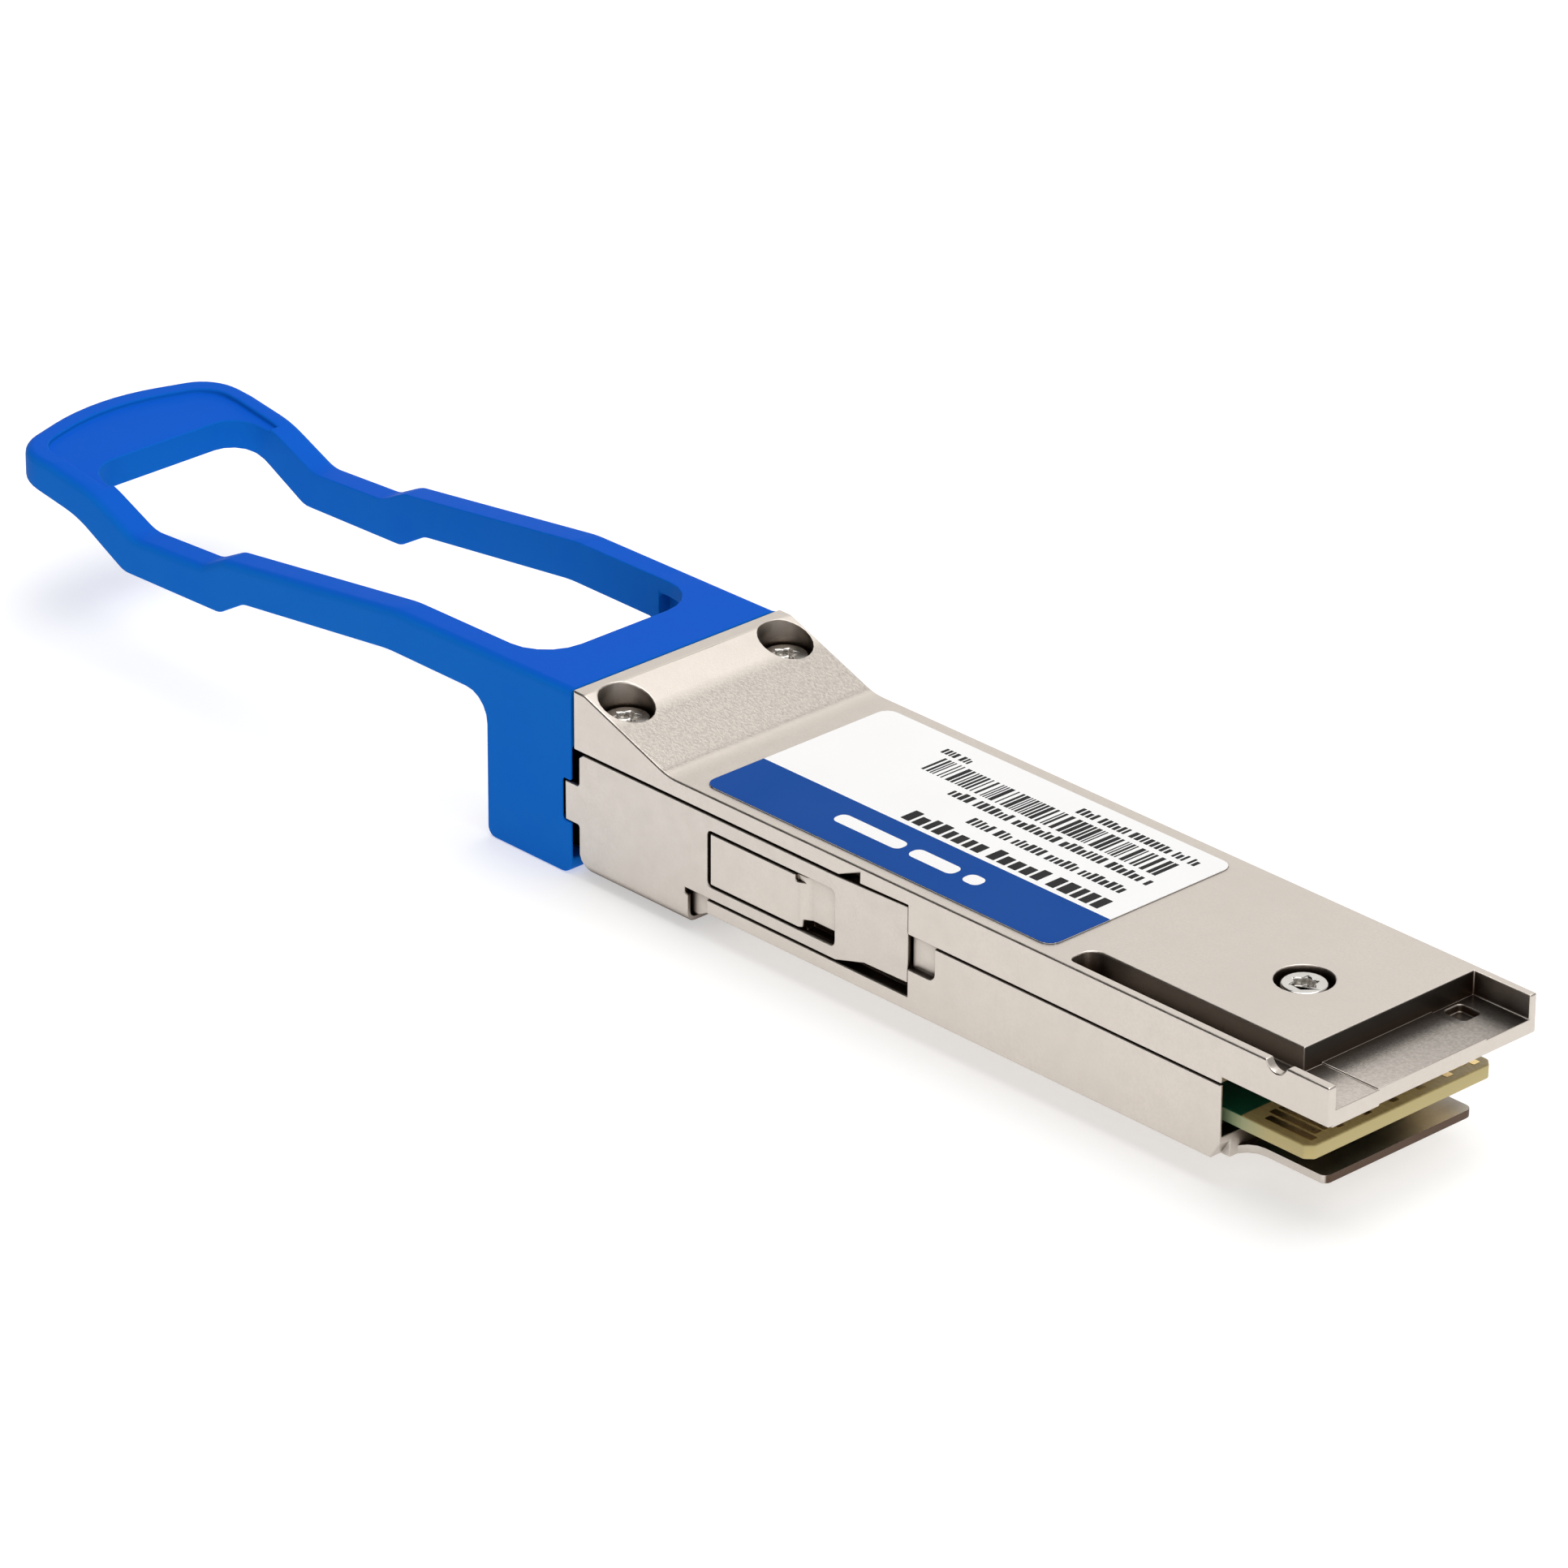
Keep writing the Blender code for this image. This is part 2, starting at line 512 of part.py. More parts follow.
def pull_tab(surface):
    half = BODY_HALF_WIDTH
    tab = prism("pull_tab", tab_profile(), "y", -half, half)
    bow_apex = TAB_END - END_BOW_RADIUS * (1 / math.cos(math.atan(END_BOW / half)) - 1)
    shoulder = bow_apex + END_BOW
    boolean(tab, prism("tab_plan", rounded([
        (COLLAR_BACK + 1, -half), (COLLAR_BACK + 1, half), (shoulder, half, END_CORNER_RADIUS),
        (bow_apex, 0.0, END_BOW_RADIUS), (shoulder, -half, END_CORNER_RADIUS)], steps=8),
        "z", COLLAR_BOTTOM - 1, COLLAR_TOP + 1), "INTERSECT")
    inner = TAB_ARM_INNER
    cut(
        tab,
        prism("tab_window", rounded([
            (TAB_WINDOW_BACK, -inner, 3.2), (TAB_WINDOW_BACK, inner, 3.2),
            (TAB_WINDOW_FRONT, inner, 2.4), (TAB_WINDOW_FRONT, -inner, 2.4)], steps=5),
            "z", COLLAR_BOTTOM - 1, COLLAR_TOP + 1),
        block("collar_hole", (COLLAR_FRONT - 1, COLLAR_BACK + 1),
              (-COLLAR_HOLE_HALF_WIDTH, COLLAR_HOLE_HALF_WIDTH), (COLLAR_HOLE_BOTTOM, COLLAR_HOLE_TOP)),
    )
    thumb_rest = prism("thumb_rest", [
        (-116.2, 9.35 - THUMB_REST_DEPTH), (-120.5, 9.95 - THUMB_REST_DEPTH),
        (TAB_END, 10.3 - THUMB_REST_DEPTH), (TAB_END, 12.0), (-116.2, 12.0)], "y", -half, half)
    boolean(thumb_rest, prism("thumb_rest_plan", rounded([
        (-112.0, -7.7), (-112.0, 7.7), (shoulder + 1.1, 7.7, 2.4), (bow_apex + 1.6, 0.0, END_BOW_RADIUS),
        (shoulder + 1.1, -7.7, 2.4)], steps=6),
        "z", 5.0, 12.5), "INTERSECT")
    cut(tab, thumb_rest)
    for side in (-1, 1):
        cut(
            tab,
            block("tongue_slot", (-72.1, COLLAR_BACK + 1), sorted((side * 8.37, side * 8.83)), (1.9, 4.9)),
            block("rear_relief", (-68.6, COLLAR_BACK + 1), sorted((side * 7.9, side * 8.95)),
                  (COLLAR_HOLE_BOTTOM, SLIDER_TOP + 0.1)),
            block("tongue_notch", (-68.15, COLLAR_BACK + 1), sorted((side * 8.37, side * (half + 1))),
                  (1.9, 4.9)),
        )
    return finish(tab, surface, smooth=True)


def screw(name, x, y, head_radius, head_low, head_high, shank_radius, shank_low, surface):
    piece = prism(name, circle(x, y, head_radius), "z", head_low, head_high)
    join(piece, prism("shank", circle(x, y, shank_radius, 16), "z", shank_low, head_low + 0.3))
    lobes = []
    for step in range(24):
        angle = 2 * math.pi * step / 24
        reach = head_radius * (0.47 + 0.09 * math.cos(6 * angle))
        lobes.append((x + reach * math.cos(angle), y + reach * math.sin(angle)))
    cut(piece, prism("six_lobe_recess", lobes, "z", head_high - 0.55, head_high + 1))
    return finish(piece, surface, smooth=True)


def label(surface):
    return finish(
        rounded_block("label", (-55.7, -24.5), (-8.2, 8.1), (BODY_TOP + 0.01, BODY_TOP + 0.09), 0.9), surface)


def circuit_board(surface):
    wide = BOARD_BAY_HALF_WIDTH - 0.2
    narrow = OPTICS_BAY_HALF_WIDTH - 0.2
    edge = CARD_EDGE_HALF_WIDTH
    board = prism("circuit_board", [
        (BOARD_FRONT, -narrow), (BOARD_BAY_FRONT + 0.2, -narrow), (BOARD_BAY_FRONT + 0.2, -wide),
        (CARD_EDGE_START, -wide), (CARD_EDGE_START, -edge), (BOARD_END - 0.5, -edge), (BOARD_END, 0.5 - edge),
        (BOARD_END, edge - 0.5), (BOARD_END - 0.5, edge), (CARD_EDGE_START, edge), (CARD_EDGE_START, wide),
        (BOARD_BAY_FRONT + 0.2, wide), (BOARD_BAY_FRONT + 0.2, narrow), (BOARD_FRONT, narrow)],
        "z", BOARD_BOTTOM, BOARD_TOP)
    cut(board, prism("screw_clearance", circle(*REAR_SCREW, 1.3), "z", 0.0, BODY_TOP))
    return finish(board, surface)


def board_part(name, centre, size, surface):
    """A rectangular part soldered on the board: size is length, width and height."""
    (x, y), (length, width, height) = centre, size
    low = BOARD_TOP + SOLDER_GAP
    return finish(block(
        name, (x - length / 2, x + length / 2), (y - width / 2, y + width / 2), (low, low + height)), surface)


def optical_receptacle(name, y, surface):
    profile = [
        (-69.4, 0.95), (-69.4, BARREL_RADIUS - 0.2), (-69.2, BARREL_RADIUS), (-63.1, BARREL_RADIUS),
        (-63.1, 2.1), (-62.2, 2.1), (-62.2, 1.35), (-61.1, 1.35), (-61.1, 0.0)]
    bore = [(-64.0, 0.0), (-64.0, 0.95), (-69.4, 0.95)]
    return finish(turned(name, bore + profile[1:], y, PORT_Z), surface, smooth=True)


def ferrule_sleeve(name, y, surface):
    """Ceramic sleeve with a lengthwise split, which grips the plug's ferrule."""
    outer, inner = 0.9, 0.63
    split = math.radians(8)
    steps = 22
    outline = []
    for radius, backwards in ((outer, False), (inner, True)):
        for step in range(steps + 1):
            part = steps - step if backwards else step
            angle = math.pi / 2 + split + (2 * math.pi - 2 * split) * part / steps
            outline.append((y + radius * math.cos(angle), PORT_Z + radius * math.sin(angle)))
    return finish(prism(name, outline, "x", -69.1, -64.3), surface, smooth=True)


def optics_box(name, y, surface):
    box = rounded_block(name, (-61.0, -49.6), (y - 2.95, y + 2.95), (1.4, 6.6), 0.3)
    join(box, block("box_ledge", (-49.9, -48.9), (y - 2.3, y + 2.3), (3.9, 4.4)))
    return finish(box, surface)


def flex_circuit(name, y, surface):
    """Flexible circuit from the optics box down to the board."""
    thickness = 0.12
    top_line = [(-49.5, 4.6), (-48.2, 4.6), (-47.4, 4.4), (-46.6, 3.75), (-45.8, 3.45), (-42.6, 3.45)]
    outline = top_line + [(x - 0.05, z - thickness) for x, z in reversed(top_line)]
    return finish(prism(name, outline, "y", y - 2.0, y + 2.0), surface)


def receptacle_holder(surface):
    plate = block("receptacle_holder", (-62.1, -61.2), (-6.4, 6.4), (1.1, 6.9))
    for y in (-PORT_Y, PORT_Y):
        cut(
            plate,
            prism("neck_hole", circle(y, PORT_Z, 1.45), "x", -63.0, -60.0),
            block("neck_slot", (-63.0, -60.0), (y - 1.45, y + 1.45), (PORT_Z, 8.0)),
        )
    return finish(plate, surface)


def return_spring(name, side, surface):
    """Compression spring in its pocket: a round wire that follows a helix along x, with closed end turns."""
    shape = bmesh.new()
    points_per_turn = 12
    sides = 6
    count = SPRING_TURNS * points_per_turn
    length = SPRING_BACK - SPRING_FRONT - 2 * SPRING_WIRE - 0.1
    middle_y = side * SPRING_Y
    rings = []
    for step in range(count + 1):
        share = step / count
        angle = 2 * math.pi * SPRING_TURNS * share
        advance = length * (share - 0.06 * math.sin(2 * math.pi * share) / math.pi)
        outward = Vector((0.0, math.cos(angle), math.sin(angle)))
        centre = Vector((SPRING_FRONT + SPRING_WIRE + 0.05 + advance, middle_y, SPRING_Z))
        centre += outward * SPRING_RADIUS
        ring = []
        for corner in range(sides):
            turn = 2 * math.pi * corner / sides
            offset = outward * math.cos(turn) * SPRING_WIRE
            offset += Vector((1.0, 0.0, 0.0)) * math.sin(turn) * SPRING_WIRE
            ring.append(shape.verts.new(centre + offset))
        rings.append(ring)
    for first, second in zip(rings, rings[1:]):
        for corner in range(sides):
            after = (corner + 1) % sides
            shape.faces.new((first[corner], first[after], second[after], second[corner]))
    shape.faces.new(rings[0])
    shape.faces.new(rings[-1])
    return finish(new_object(name, shape), surface, smooth=True)


def main():
    clear_scene()
    nickel = material("nickel_plated_zinc", (0.62, 0.58, 0.53), 0.32, 1.0)
    sheet_metal = material("nickel_plated_sheet", (0.66, 0.62, 0.57), 0.3, 1.0)
    screw_steel = material("screw_steel", (0.55, 0.54, 0.52), 0.25, 1.0)
    blue_plastic = material("blue_pull_tab", (0.01, 0.1, 0.6), 0.45, 0.0)
    label_film = material("label_film", (0.9, 0.9, 0.9), 0.4, 0.0)
    solder_mask = material("green_board", (0.02, 0.13, 0.07), 0.4, 0.0)
    chip_black = material("chip_black", (0.03, 0.03, 0.035), 0.5, 0.0)
    ferrite = material("ferrite", (0.12, 0.12, 0.13), 0.6, 0.0)
    crystal_can = material("crystal_can", (0.7, 0.7, 0.68), 0.25, 1.0)
    capacitor_body = material("capacitor_body", (0.45, 0.33, 0.22), 0.5, 0.0)
    gold = material("gold_plated_optics", (0.83, 0.62, 0.3), 0.28, 1.0)
    stainless = material("stainless_receptacle", (0.6, 0.6, 0.6), 0.25, 1.0)
    ceramic = material("ferrule_ceramic", (0.9, 0.89, 0.85), 0.3, 0.0)
    flex_film = material("flex_film", (0.62, 0.3, 0.06), 0.4, 0.0)
    holder_plastic = material("holder_plastic", (0.05, 0.05, 0.05), 0.5, 0.0)
    pad_silicone = material("thermal_pad_silicone", (0.35, 0.42, 0.5), 0.8, 0.0)
    gasket_rubber = material("gasket_rubber", (0.16, 0.15, 0.15), 0.8, 0.0)
    spring_steel = material("spring_steel", (0.5, 0.5, 0.5), 0.25, 1.0)

    top_cover(nickel)
    base_housing(nickel)
    screw("head_screw_near", HEAD_SCREW_X, HEAD_SCREW_Y[-1], 1.6, 8.65, 9.8, 0.8, 2.5, screw_steel)
    screw("head_screw_far", HEAD_SCREW_X, HEAD_SCREW_Y[1], 1.6, 8.65, 9.8, 0.8, 2.5, screw_steel)
    screw("rear_screw", *REAR_SCREW, 1.55, 7.25, 8.27, 0.8, 0.6, screw_steel)
    label(label_film)
    circuit_board(solder_mask)

    board_part("clock_recovery_chip", (-18.5, 1.0), (5.0, 5.0, 0.9), chip_black)
    board_part("microcontroller", (-27.5, 3.0), (6.0, 6.0, 0.9), chip_black)
    board_part("laser_driver_chip", (-38.0, -3.2), (4.0, 4.0, 0.9), chip_black)
    board_part("receiver_amplifier_chip", (-38.0, 3.2), (4.0, 4.0, 0.9), chip_black)
    board_part("power_inductor_near", (-27.0, -3.6), (3.0, 2.5, 1.3), ferrite)
    board_part("power_inductor_far", (-22.8, -3.6), (3.0, 2.5, 1.3), ferrite)
    board_part("clock_crystal", (-32.6, 4.4), (2.5, 3.2, 0.7), crystal_can)
    for number, spot in enumerate(((-14.0, -3.0), (-14.0, 4.4), (-32.6, -3.4), (-23.0, 5.4)), start=1):
        board_part(f"filter_capacitor_{number}", spot, (1.0, 1.8, 0.9), capacitor_body)
    pad_low = BOARD_TOP + SOLDER_GAP + 0.9 + SOLDER_GAP
    for name, x, y in (("thermal_pad_rear", -18.5, 1.0), ("thermal_pad_front", -38.0, -3.2)):
        finish(rounded_block(name, (x - 1.9, x + 1.9), (y - 1.9, y + 1.9),
                             (pad_low, COVER_CEILING - 0.05), 0.3),
               pad_silicone)

    for word, y in (("transmitter", -PORT_Y), ("receiver", PORT_Y)):
        optical_receptacle(f"{word}_receptacle", y, stainless)
        ferrule_sleeve(f"{word}_ferrule_sleeve", y, ceramic)
        optics_box(f"{word}_optics_box", y, gold)
        flex_circuit(f"{word}_flex", y, flex_film)
    receptacle_holder(holder_plastic)
    for word, side in (("near", -1), ("far", 1)):
        finish(block(f"seam_gasket_{word}", (-32.9, -13.1), sorted((side * 8.1, side * 8.6)), (4.85, 5.33)),
               gasket_rubber)

    slide_axis = bpy.data.objects.new("release_slide_axis", None)
    slide_axis.location = place(COLLAR_BACK, 0.0, 0.0)
    bpy.context.scene.collection.objects.link(slide_axis)
    bpy.context.view_layer.update()
    moving = [release_slider(sheet_metal), pull_tab(blue_plastic)]
    for piece in moving:
        piece.parent = slide_axis
        piece.matrix_parent_inverse = slide_axis.matrix_world.inverted()
    for word, side in (("near", -1), ("far", 1)):
        return_spring(f"return_spring_{word}", side, spring_steel)


main()
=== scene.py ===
"""Looks of the pluggable optical transceiver module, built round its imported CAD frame.

Lengths are millimetres in the module's own frame unless a name says otherwise, and `place` turns them into
metres of the row frame: x is 0 at the top cover's connector end and negative towards the pull tab, y is 0 on
the centre line, and z is 0 at the underside of the slim body.
"""

import json
import math
import random

import bmesh
import bpy
from mathutils import Matrix, Vector


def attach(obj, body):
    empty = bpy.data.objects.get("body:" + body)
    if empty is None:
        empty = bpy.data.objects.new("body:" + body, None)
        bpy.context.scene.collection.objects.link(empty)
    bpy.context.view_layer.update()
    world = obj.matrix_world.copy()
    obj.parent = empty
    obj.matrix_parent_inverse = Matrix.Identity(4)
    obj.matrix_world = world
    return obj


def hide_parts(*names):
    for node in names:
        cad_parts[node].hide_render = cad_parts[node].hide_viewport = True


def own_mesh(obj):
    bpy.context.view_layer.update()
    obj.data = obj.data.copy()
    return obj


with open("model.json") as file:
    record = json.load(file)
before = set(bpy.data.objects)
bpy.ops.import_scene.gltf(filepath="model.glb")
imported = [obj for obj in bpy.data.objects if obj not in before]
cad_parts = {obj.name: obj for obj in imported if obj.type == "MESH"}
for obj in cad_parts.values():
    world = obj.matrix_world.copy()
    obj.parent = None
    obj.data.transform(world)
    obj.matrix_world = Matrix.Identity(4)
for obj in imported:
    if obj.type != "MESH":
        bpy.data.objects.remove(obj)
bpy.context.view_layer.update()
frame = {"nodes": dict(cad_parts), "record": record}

# Module frame to row frame
MM = 0.001
SHIFT = Vector((63.2, 0.0, 1.9))

# Outline of the module
HALF_WIDTH = 9.175
BODY_TOP = 8.5
SLOPE_FOOT_X = -58.0
END_BLOCK = -4.65
END_FLOOR = 6.85
GRIP_X = -122.0
TAB_ARM_INNER = 7.0
TAB_WINDOW_FRONT = -72.0
COLLAR_BACK_ZONE = -67.5
SCREW_HEAD_ZONE = 8.0

# Regions of the castings with a finish of their own
SANDY_BACK_X = -63.2
LIP_ZONE_X = -4.0
LIP_ZONE_TOP = 1.2
FAR = 200.0

# Widths of the rounded edges
COVER_OUTER = 0.26
COVER_END = 0.15
BASE_OUTER = 0.25
CASTING_OTHER = 0.1
SLIDER_ROUNDING = 0.09
TAB_WIDEST = 0.65
TAB_UPPER = 0.6
TAB_LOWER = 0.3
TAB_WINDOW = 0.4
TAB_COLLAR_BACK = 0.15
TAB_OTHER = 0.25
SCREW_RIM = 0.2
SCREW_RECESS = 0.05
BOARD_EDGE = 0.12
BOARD_INSIDE = 0.03
LABEL_ROUNDING = 0.02

# How the roundings share the faces beside them
TINY = 1e-9
SHORTEST_EDGE = 1e-6
OVERLAP_MARGIN = 0.02
ROOM_SHARE = 0.45
FACE_SHARE = 0.9
SLIGHT_BEND = (math.radians(0.5), math.radians(50))
ARC_STEPS = 6

# Label
LABEL_X = (-55.7, -24.5)
LABEL_FRONT_Y = -8.2
LABEL_TOP = 8.59
LABEL_CORNER = 0.9
BAND_TOP_Y = -2.95
INK_HEIGHT = 0.008
TEXT_LINES = (
    ((-40.3, -26.0), (0.0, 0.95)),
    ((-44.0, -25.9), (2.0, 2.95)),
    ((-36.6, -26.0), (6.1, 6.95)),
    ((-48.7, -46.0), (6.0, 6.7)),
)
BOLD_LINE = ((-43.6, -25.4), (-2.5, -1.05))
BAR_CODE = ((-47.8, -26.4), (3.4, 5.6))
MARK_BARS_X = ((-46.4, -40.4), (-39.6, -35.6), (-34.8, -33.4))
MARK_BARS_Y = (-5.9, -4.7)

# Card edge
FINGER_PITCH = 0.8
FINGER_WIDTH = 0.58
FINGERS_PER_SIDE = 19
FINGER_LENGTH = 3.9
FINGER_SETBACK = {"long": 0.55, "short": 0.95}
BOARD_EDGE_ZONE = -11.0
BOARD_TOP = 3.25
BOARD_BOTTOM = 2.25
BOARD_END = -2.3
MASK_END = -8.0


def place(x, y, z):
    return (Vector((x, y, z)) + SHIFT) * MM


def in_module(point):
    """The module-frame millimetres of a row-frame point in metres."""
    return point / MM - SHIFT


# ---------------------------------------------------------------- mesh tools


def linked(name, shape):
    mesh = bpy.data.meshes.new(name)
    shape.to_mesh(mesh)
    shape.free()
    made = bpy.data.objects.new(name, mesh)
    bpy.context.scene.collection.objects.link(made)
    return made


def copy_of(node, name):
    """A new piece with a CAD node's shape, its triangles merged back into the flat faces they came from."""
    shape = bmesh.new()
    shape.from_mesh(frame["nodes"][node].data)
    bmesh.ops.remove_doubles(shape, verts=shape.verts, dist=0.002 * MM)
    bmesh.ops.dissolve_limit(
        shape, angle_limit=math.radians(0.5), verts=shape.verts, edges=shape.edges, delimit=set())
    return linked(name, shape)


def rounded(corners):
    """Closed outline of (u, v) or (u, v, radius) corners, with an arc at each radius."""
    outline = []
    count = len(corners)
    for index, corner in enumerate(corners):
        point = Vector(corner[:2])
        radius = corner[2] if len(corner) > 2 else 0.0
        if radius == 0.0:
            outline.append(tuple(point))
            continue
        towards_last = (Vector(corners[index - 1][:2]) - point).normalized()
        towards_next = (Vector(corners[(index + 1) % count][:2]) - point).normalized()
        half_angle = towards_last.angle(towards_next) / 2
        centre = point + (towards_last + towards_next).normalized() * radius / math.sin(half_angle)
        start = point + towards_last * radius / math.tan(half_angle) - centre
        end = point + towards_next * radius / math.tan(half_angle) - centre
        sweep = math.atan2(start.x * end.y - start.y * end.x, start.dot(end))
        for step in range(ARC_STEPS + 1):
            turn = sweep * step / ARC_STEPS
            outline.append((
                centre.x + start.x * math.cos(turn) - start.y * math.sin(turn),
                centre.y + start.x * math.sin(turn) + start.y * math.cos(turn),
            ))
    return outline


def add_prism(shape, outline, axis, low, high):
    """Adds an outline extruded along "x", "y" or "z" to a bmesh; its two values are the other two axes."""
    rings = []
    for level in (low, high):
        rings.append([
            shape.verts.new(place(*{"x": (level, u, v), "y": (u, level, v), "z": (u, v, level)}[axis]))
            for u, v in outline])
    faces = [shape.faces.new(rings[0]), shape.faces.new(rings[1])]
    for index in range(len(outline)):
        following = (index + 1) % len(outline)
        faces.append(shape.faces.new(
            (rings[0][index], rings[0][following], rings[1][following], rings[1][index])))
    bmesh.ops.recalc_face_normals(shape, faces=faces)


def prism(name, outline, axis, low, high):
    shape = bmesh.new()
    add_prism(shape, outline, axis, low, high)
    return linked(name, shape)


def box_outline(u_span, v_span, radius=0.0):
    return rounded([
        (u_span[0], v_span[0], radius), (u_span[1], v_span[0], radius),
        (u_span[1], v_span[1], radius), (u_span[0], v_span[1], radius)])


def cut(target, cutter):
    """Cuts one object out of another at once and removes it."""
    modifier = target.modifiers.new("cut", "BOOLEAN")
    modifier.operation = "DIFFERENCE"
    modifier.solver = "EXACT"
    modifier.object = cutter
    bpy.context.view_layer.update()
    evaluated = target.evaluated_get(bpy.context.evaluated_depsgraph_get())
    result = bpy.data.meshes.new_from_object(evaluated)
    target.modifiers.clear()
    target.data = result
    bpy.data.objects.remove(cutter, do_unlink=True)


def facing_gap(edge, other, face):
    """How far into the face the other edge lies, straight across from this edge, or None if it doesn't."""
    corner = next(loop for loop in edge.link_loops if loop.face is face)
    start, end = corner.vert.co, corner.link_loop_next.vert.co
    length = (end - start).length
    along = (end - start) / length
    inward = face.normal.cross(along)
    points = [vertex.co - start for vertex in other.verts]
    first, last = sorted(points, key=lambda point: point.dot(along))
    low, high = first.dot(along), last.dot(along)
    if high <= OVERLAP_MARGIN * length or low >= (1 - OVERLAP_MARGIN) * length or high - low < TINY:
        return None
    gaps = []
    for stop in (max(low, 0.0), min(high, length)):
        share = (stop - low) / (high - low)
        gaps.append((first + (last - first) * share).dot(inward))
    return min(gaps) if min(gaps) > SHORTEST_EDGE else None


def corner_room(edge, vertex, sharp):
    """How wide the edge's rounding may be for the edges it meets at one of its corners."""
    room = math.inf
    direction = (edge.other_vert(vertex).co - vertex.co).normalized()
    for other in vertex.link_edges:
        if other is edge or not set(other.link_faces) & set(edge.link_faces):
            continue
        angle = direction.angle(other.other_vert(vertex).co - vertex.co)
        if other in sharp:
            room = min(room, ROOM_SHARE * other.calc_length() * math.tan(angle / 2))
        elif math.sin(angle) > 0.2:
            room = min(room, ROOM_SHARE * other.calc_length() * math.sin(angle))
    return room


def share_faces(widths):
    """Narrows the roundings of edges that face each other across too narrow a face.

    The order of the faces changes the result, so they are always taken from the near side to the far side.
    """
    faces = {face for edge in widths for face in edge.link_faces}
    for face in sorted(faces, key=lambda face: (face.calc_center_median().y, face.index)):
        around = [edge for edge in face.edges if edge in widths]
        for edge in around:
            for other in around:
                if other is edge or set(other.verts) & set(edge.verts):
                    continue
                gap = facing_gap(edge, other, face)
                if gap is not None:
                    share = min(1.0, FACE_SHARE * gap / (widths[edge] + widths[other]))
                    widths[edge] *= share
                    widths[other] *= share


def even_out(widths):
    """Gives edges that run on into each other at a slight bend the least of their widths."""
    changed = True
    while changed:
        changed = False
        for edge in widths:
            for vertex in edge.verts:
                direction = (edge.other_vert(vertex).co - vertex.co).normalized()
                for other in vertex.link_edges:
                    if other is edge or other not in widths or widths[edge] - widths[other] < TINY:
                        continue
                    bend = math.pi - direction.angle(other.other_vert(vertex).co - vertex.co)
                    if SLIGHT_BEND[0] < bend < SLIGHT_BEND[1]:
                        widths[edge] = widths[other]
                        changed = True


def round_edges(piece, width, segments=3, sharpness=30, width_at=None):
    """Rounds the sharp edges by `width`, or by width_at(middle, edge), as far as the faces beside them allow.

    `width` is the bevel's own width, so width_at gives at most that.
    """
    shape = bmesh.new()
    shape.from_mesh(piece.data)
    shape.normal_update()
    layer = shape.edges.layers.float.get("bevel_weight_edge")
    if layer is None:
        layer = shape.edges.layers.float.new("bevel_weight_edge")
    sharp = [
        edge for edge in shape.edges
        if edge.is_manifold and edge.calc_length() > SHORTEST_EDGE
        and edge.calc_face_angle() > math.radians(sharpness)]
    known = set(sharp)
    widths = {}
    for edge in sharp:
        wanted = width
        if width_at is not None:
            wanted = width_at(in_module((edge.verts[0].co + edge.verts[1].co) / 2), edge)
        widths[edge] = min(wanted * MM, min(corner_room(edge, vertex, known) for vertex in edge.verts))
    share_faces(widths)
    even_out(widths)
    for edge in shape.edges:
        edge[layer] = widths.get(edge, 0.0) / (width * MM)
    shape.to_mesh(piece.data)
    shape.free()
    piece.data.shade_smooth()
    bevel = piece.modifiers.new("rounded_edges", "BEVEL")
    bevel.limit_method = "WEIGHT"
    bevel.width = width * MM
    bevel.segments = segments
    bevel.use_clamp_overlap = False
    bevel.loop_slide = False
    normals = piece.modifiers.new("flat_faces", "WEIGHTED_NORMAL")
    normals.mode = "FACE_AREA"
    normals.keep_sharp = False
    return piece


# ---------------------------------------------------------------- materials


def new_surface(name, colour, roughness, metallic=0.0, specular=0.5):
    made = bpy.data.materials.new(name)
    made.use_nodes = True
    shader = made.node_tree.nodes["Principled BSDF"]
    shader.inputs["Base Color"].default_value = (*colour, 1.0)
    shader.inputs["Roughness"].default_value = roughness
    shader.inputs["Metallic"].default_value = metallic
    shader.inputs["Specular IOR Level"].default_value = specular
    return made


def millimetres(tree, stretch=(1.0, 1.0, 1.0)):
    """The surface point in millimetres of the row frame, stretched along each axis."""
    source = tree.nodes.new("ShaderNodeTexCoord")
    mapping = tree.nodes.new("ShaderNodeMapping")
    mapping.inputs["Scale"].default_value = [1000.0 * share for share in stretch]
    tree.links.new(source.outputs["Object"], mapping.inputs["Vector"])
    return mapping.outputs["Vector"]


def noise(tree, vector, scale, detail=2.0, roughness=0.5):
    made = tree.nodes.new("ShaderNodeTexNoise")
    made.inputs["Scale"].default_value = scale
    made.inputs["Detail"].default_value = detail
    made.inputs["Roughness"].default_value = roughness
    tree.links.new(vector, made.inputs["Vector"])
    return made.outputs["Fac"]


def supply(tree, socket, value):
    """Sets a socket to a number or a colour, or links another node's output to it."""
    if isinstance(value, (int, float)):
        socket.default_value = value
    elif isinstance(value, tuple):
        socket.default_value = (*value, 1.0)
    else:
        tree.links.new(value, socket)


def math_node(tree, operation, first, second):
    made = tree.nodes.new("ShaderNodeMath")
    made.operation = operation
    supply(tree, made.inputs[0], first)
    supply(tree, made.inputs[1], second)
    return made.outputs["Value"]


def all_of(tree, *shares):
    """The product of shares, which is 1 only where all of them are."""
    product = shares[0]
    for share in shares[1:]:
        product = math_node(tree, "MULTIPLY", product, share)
    return product


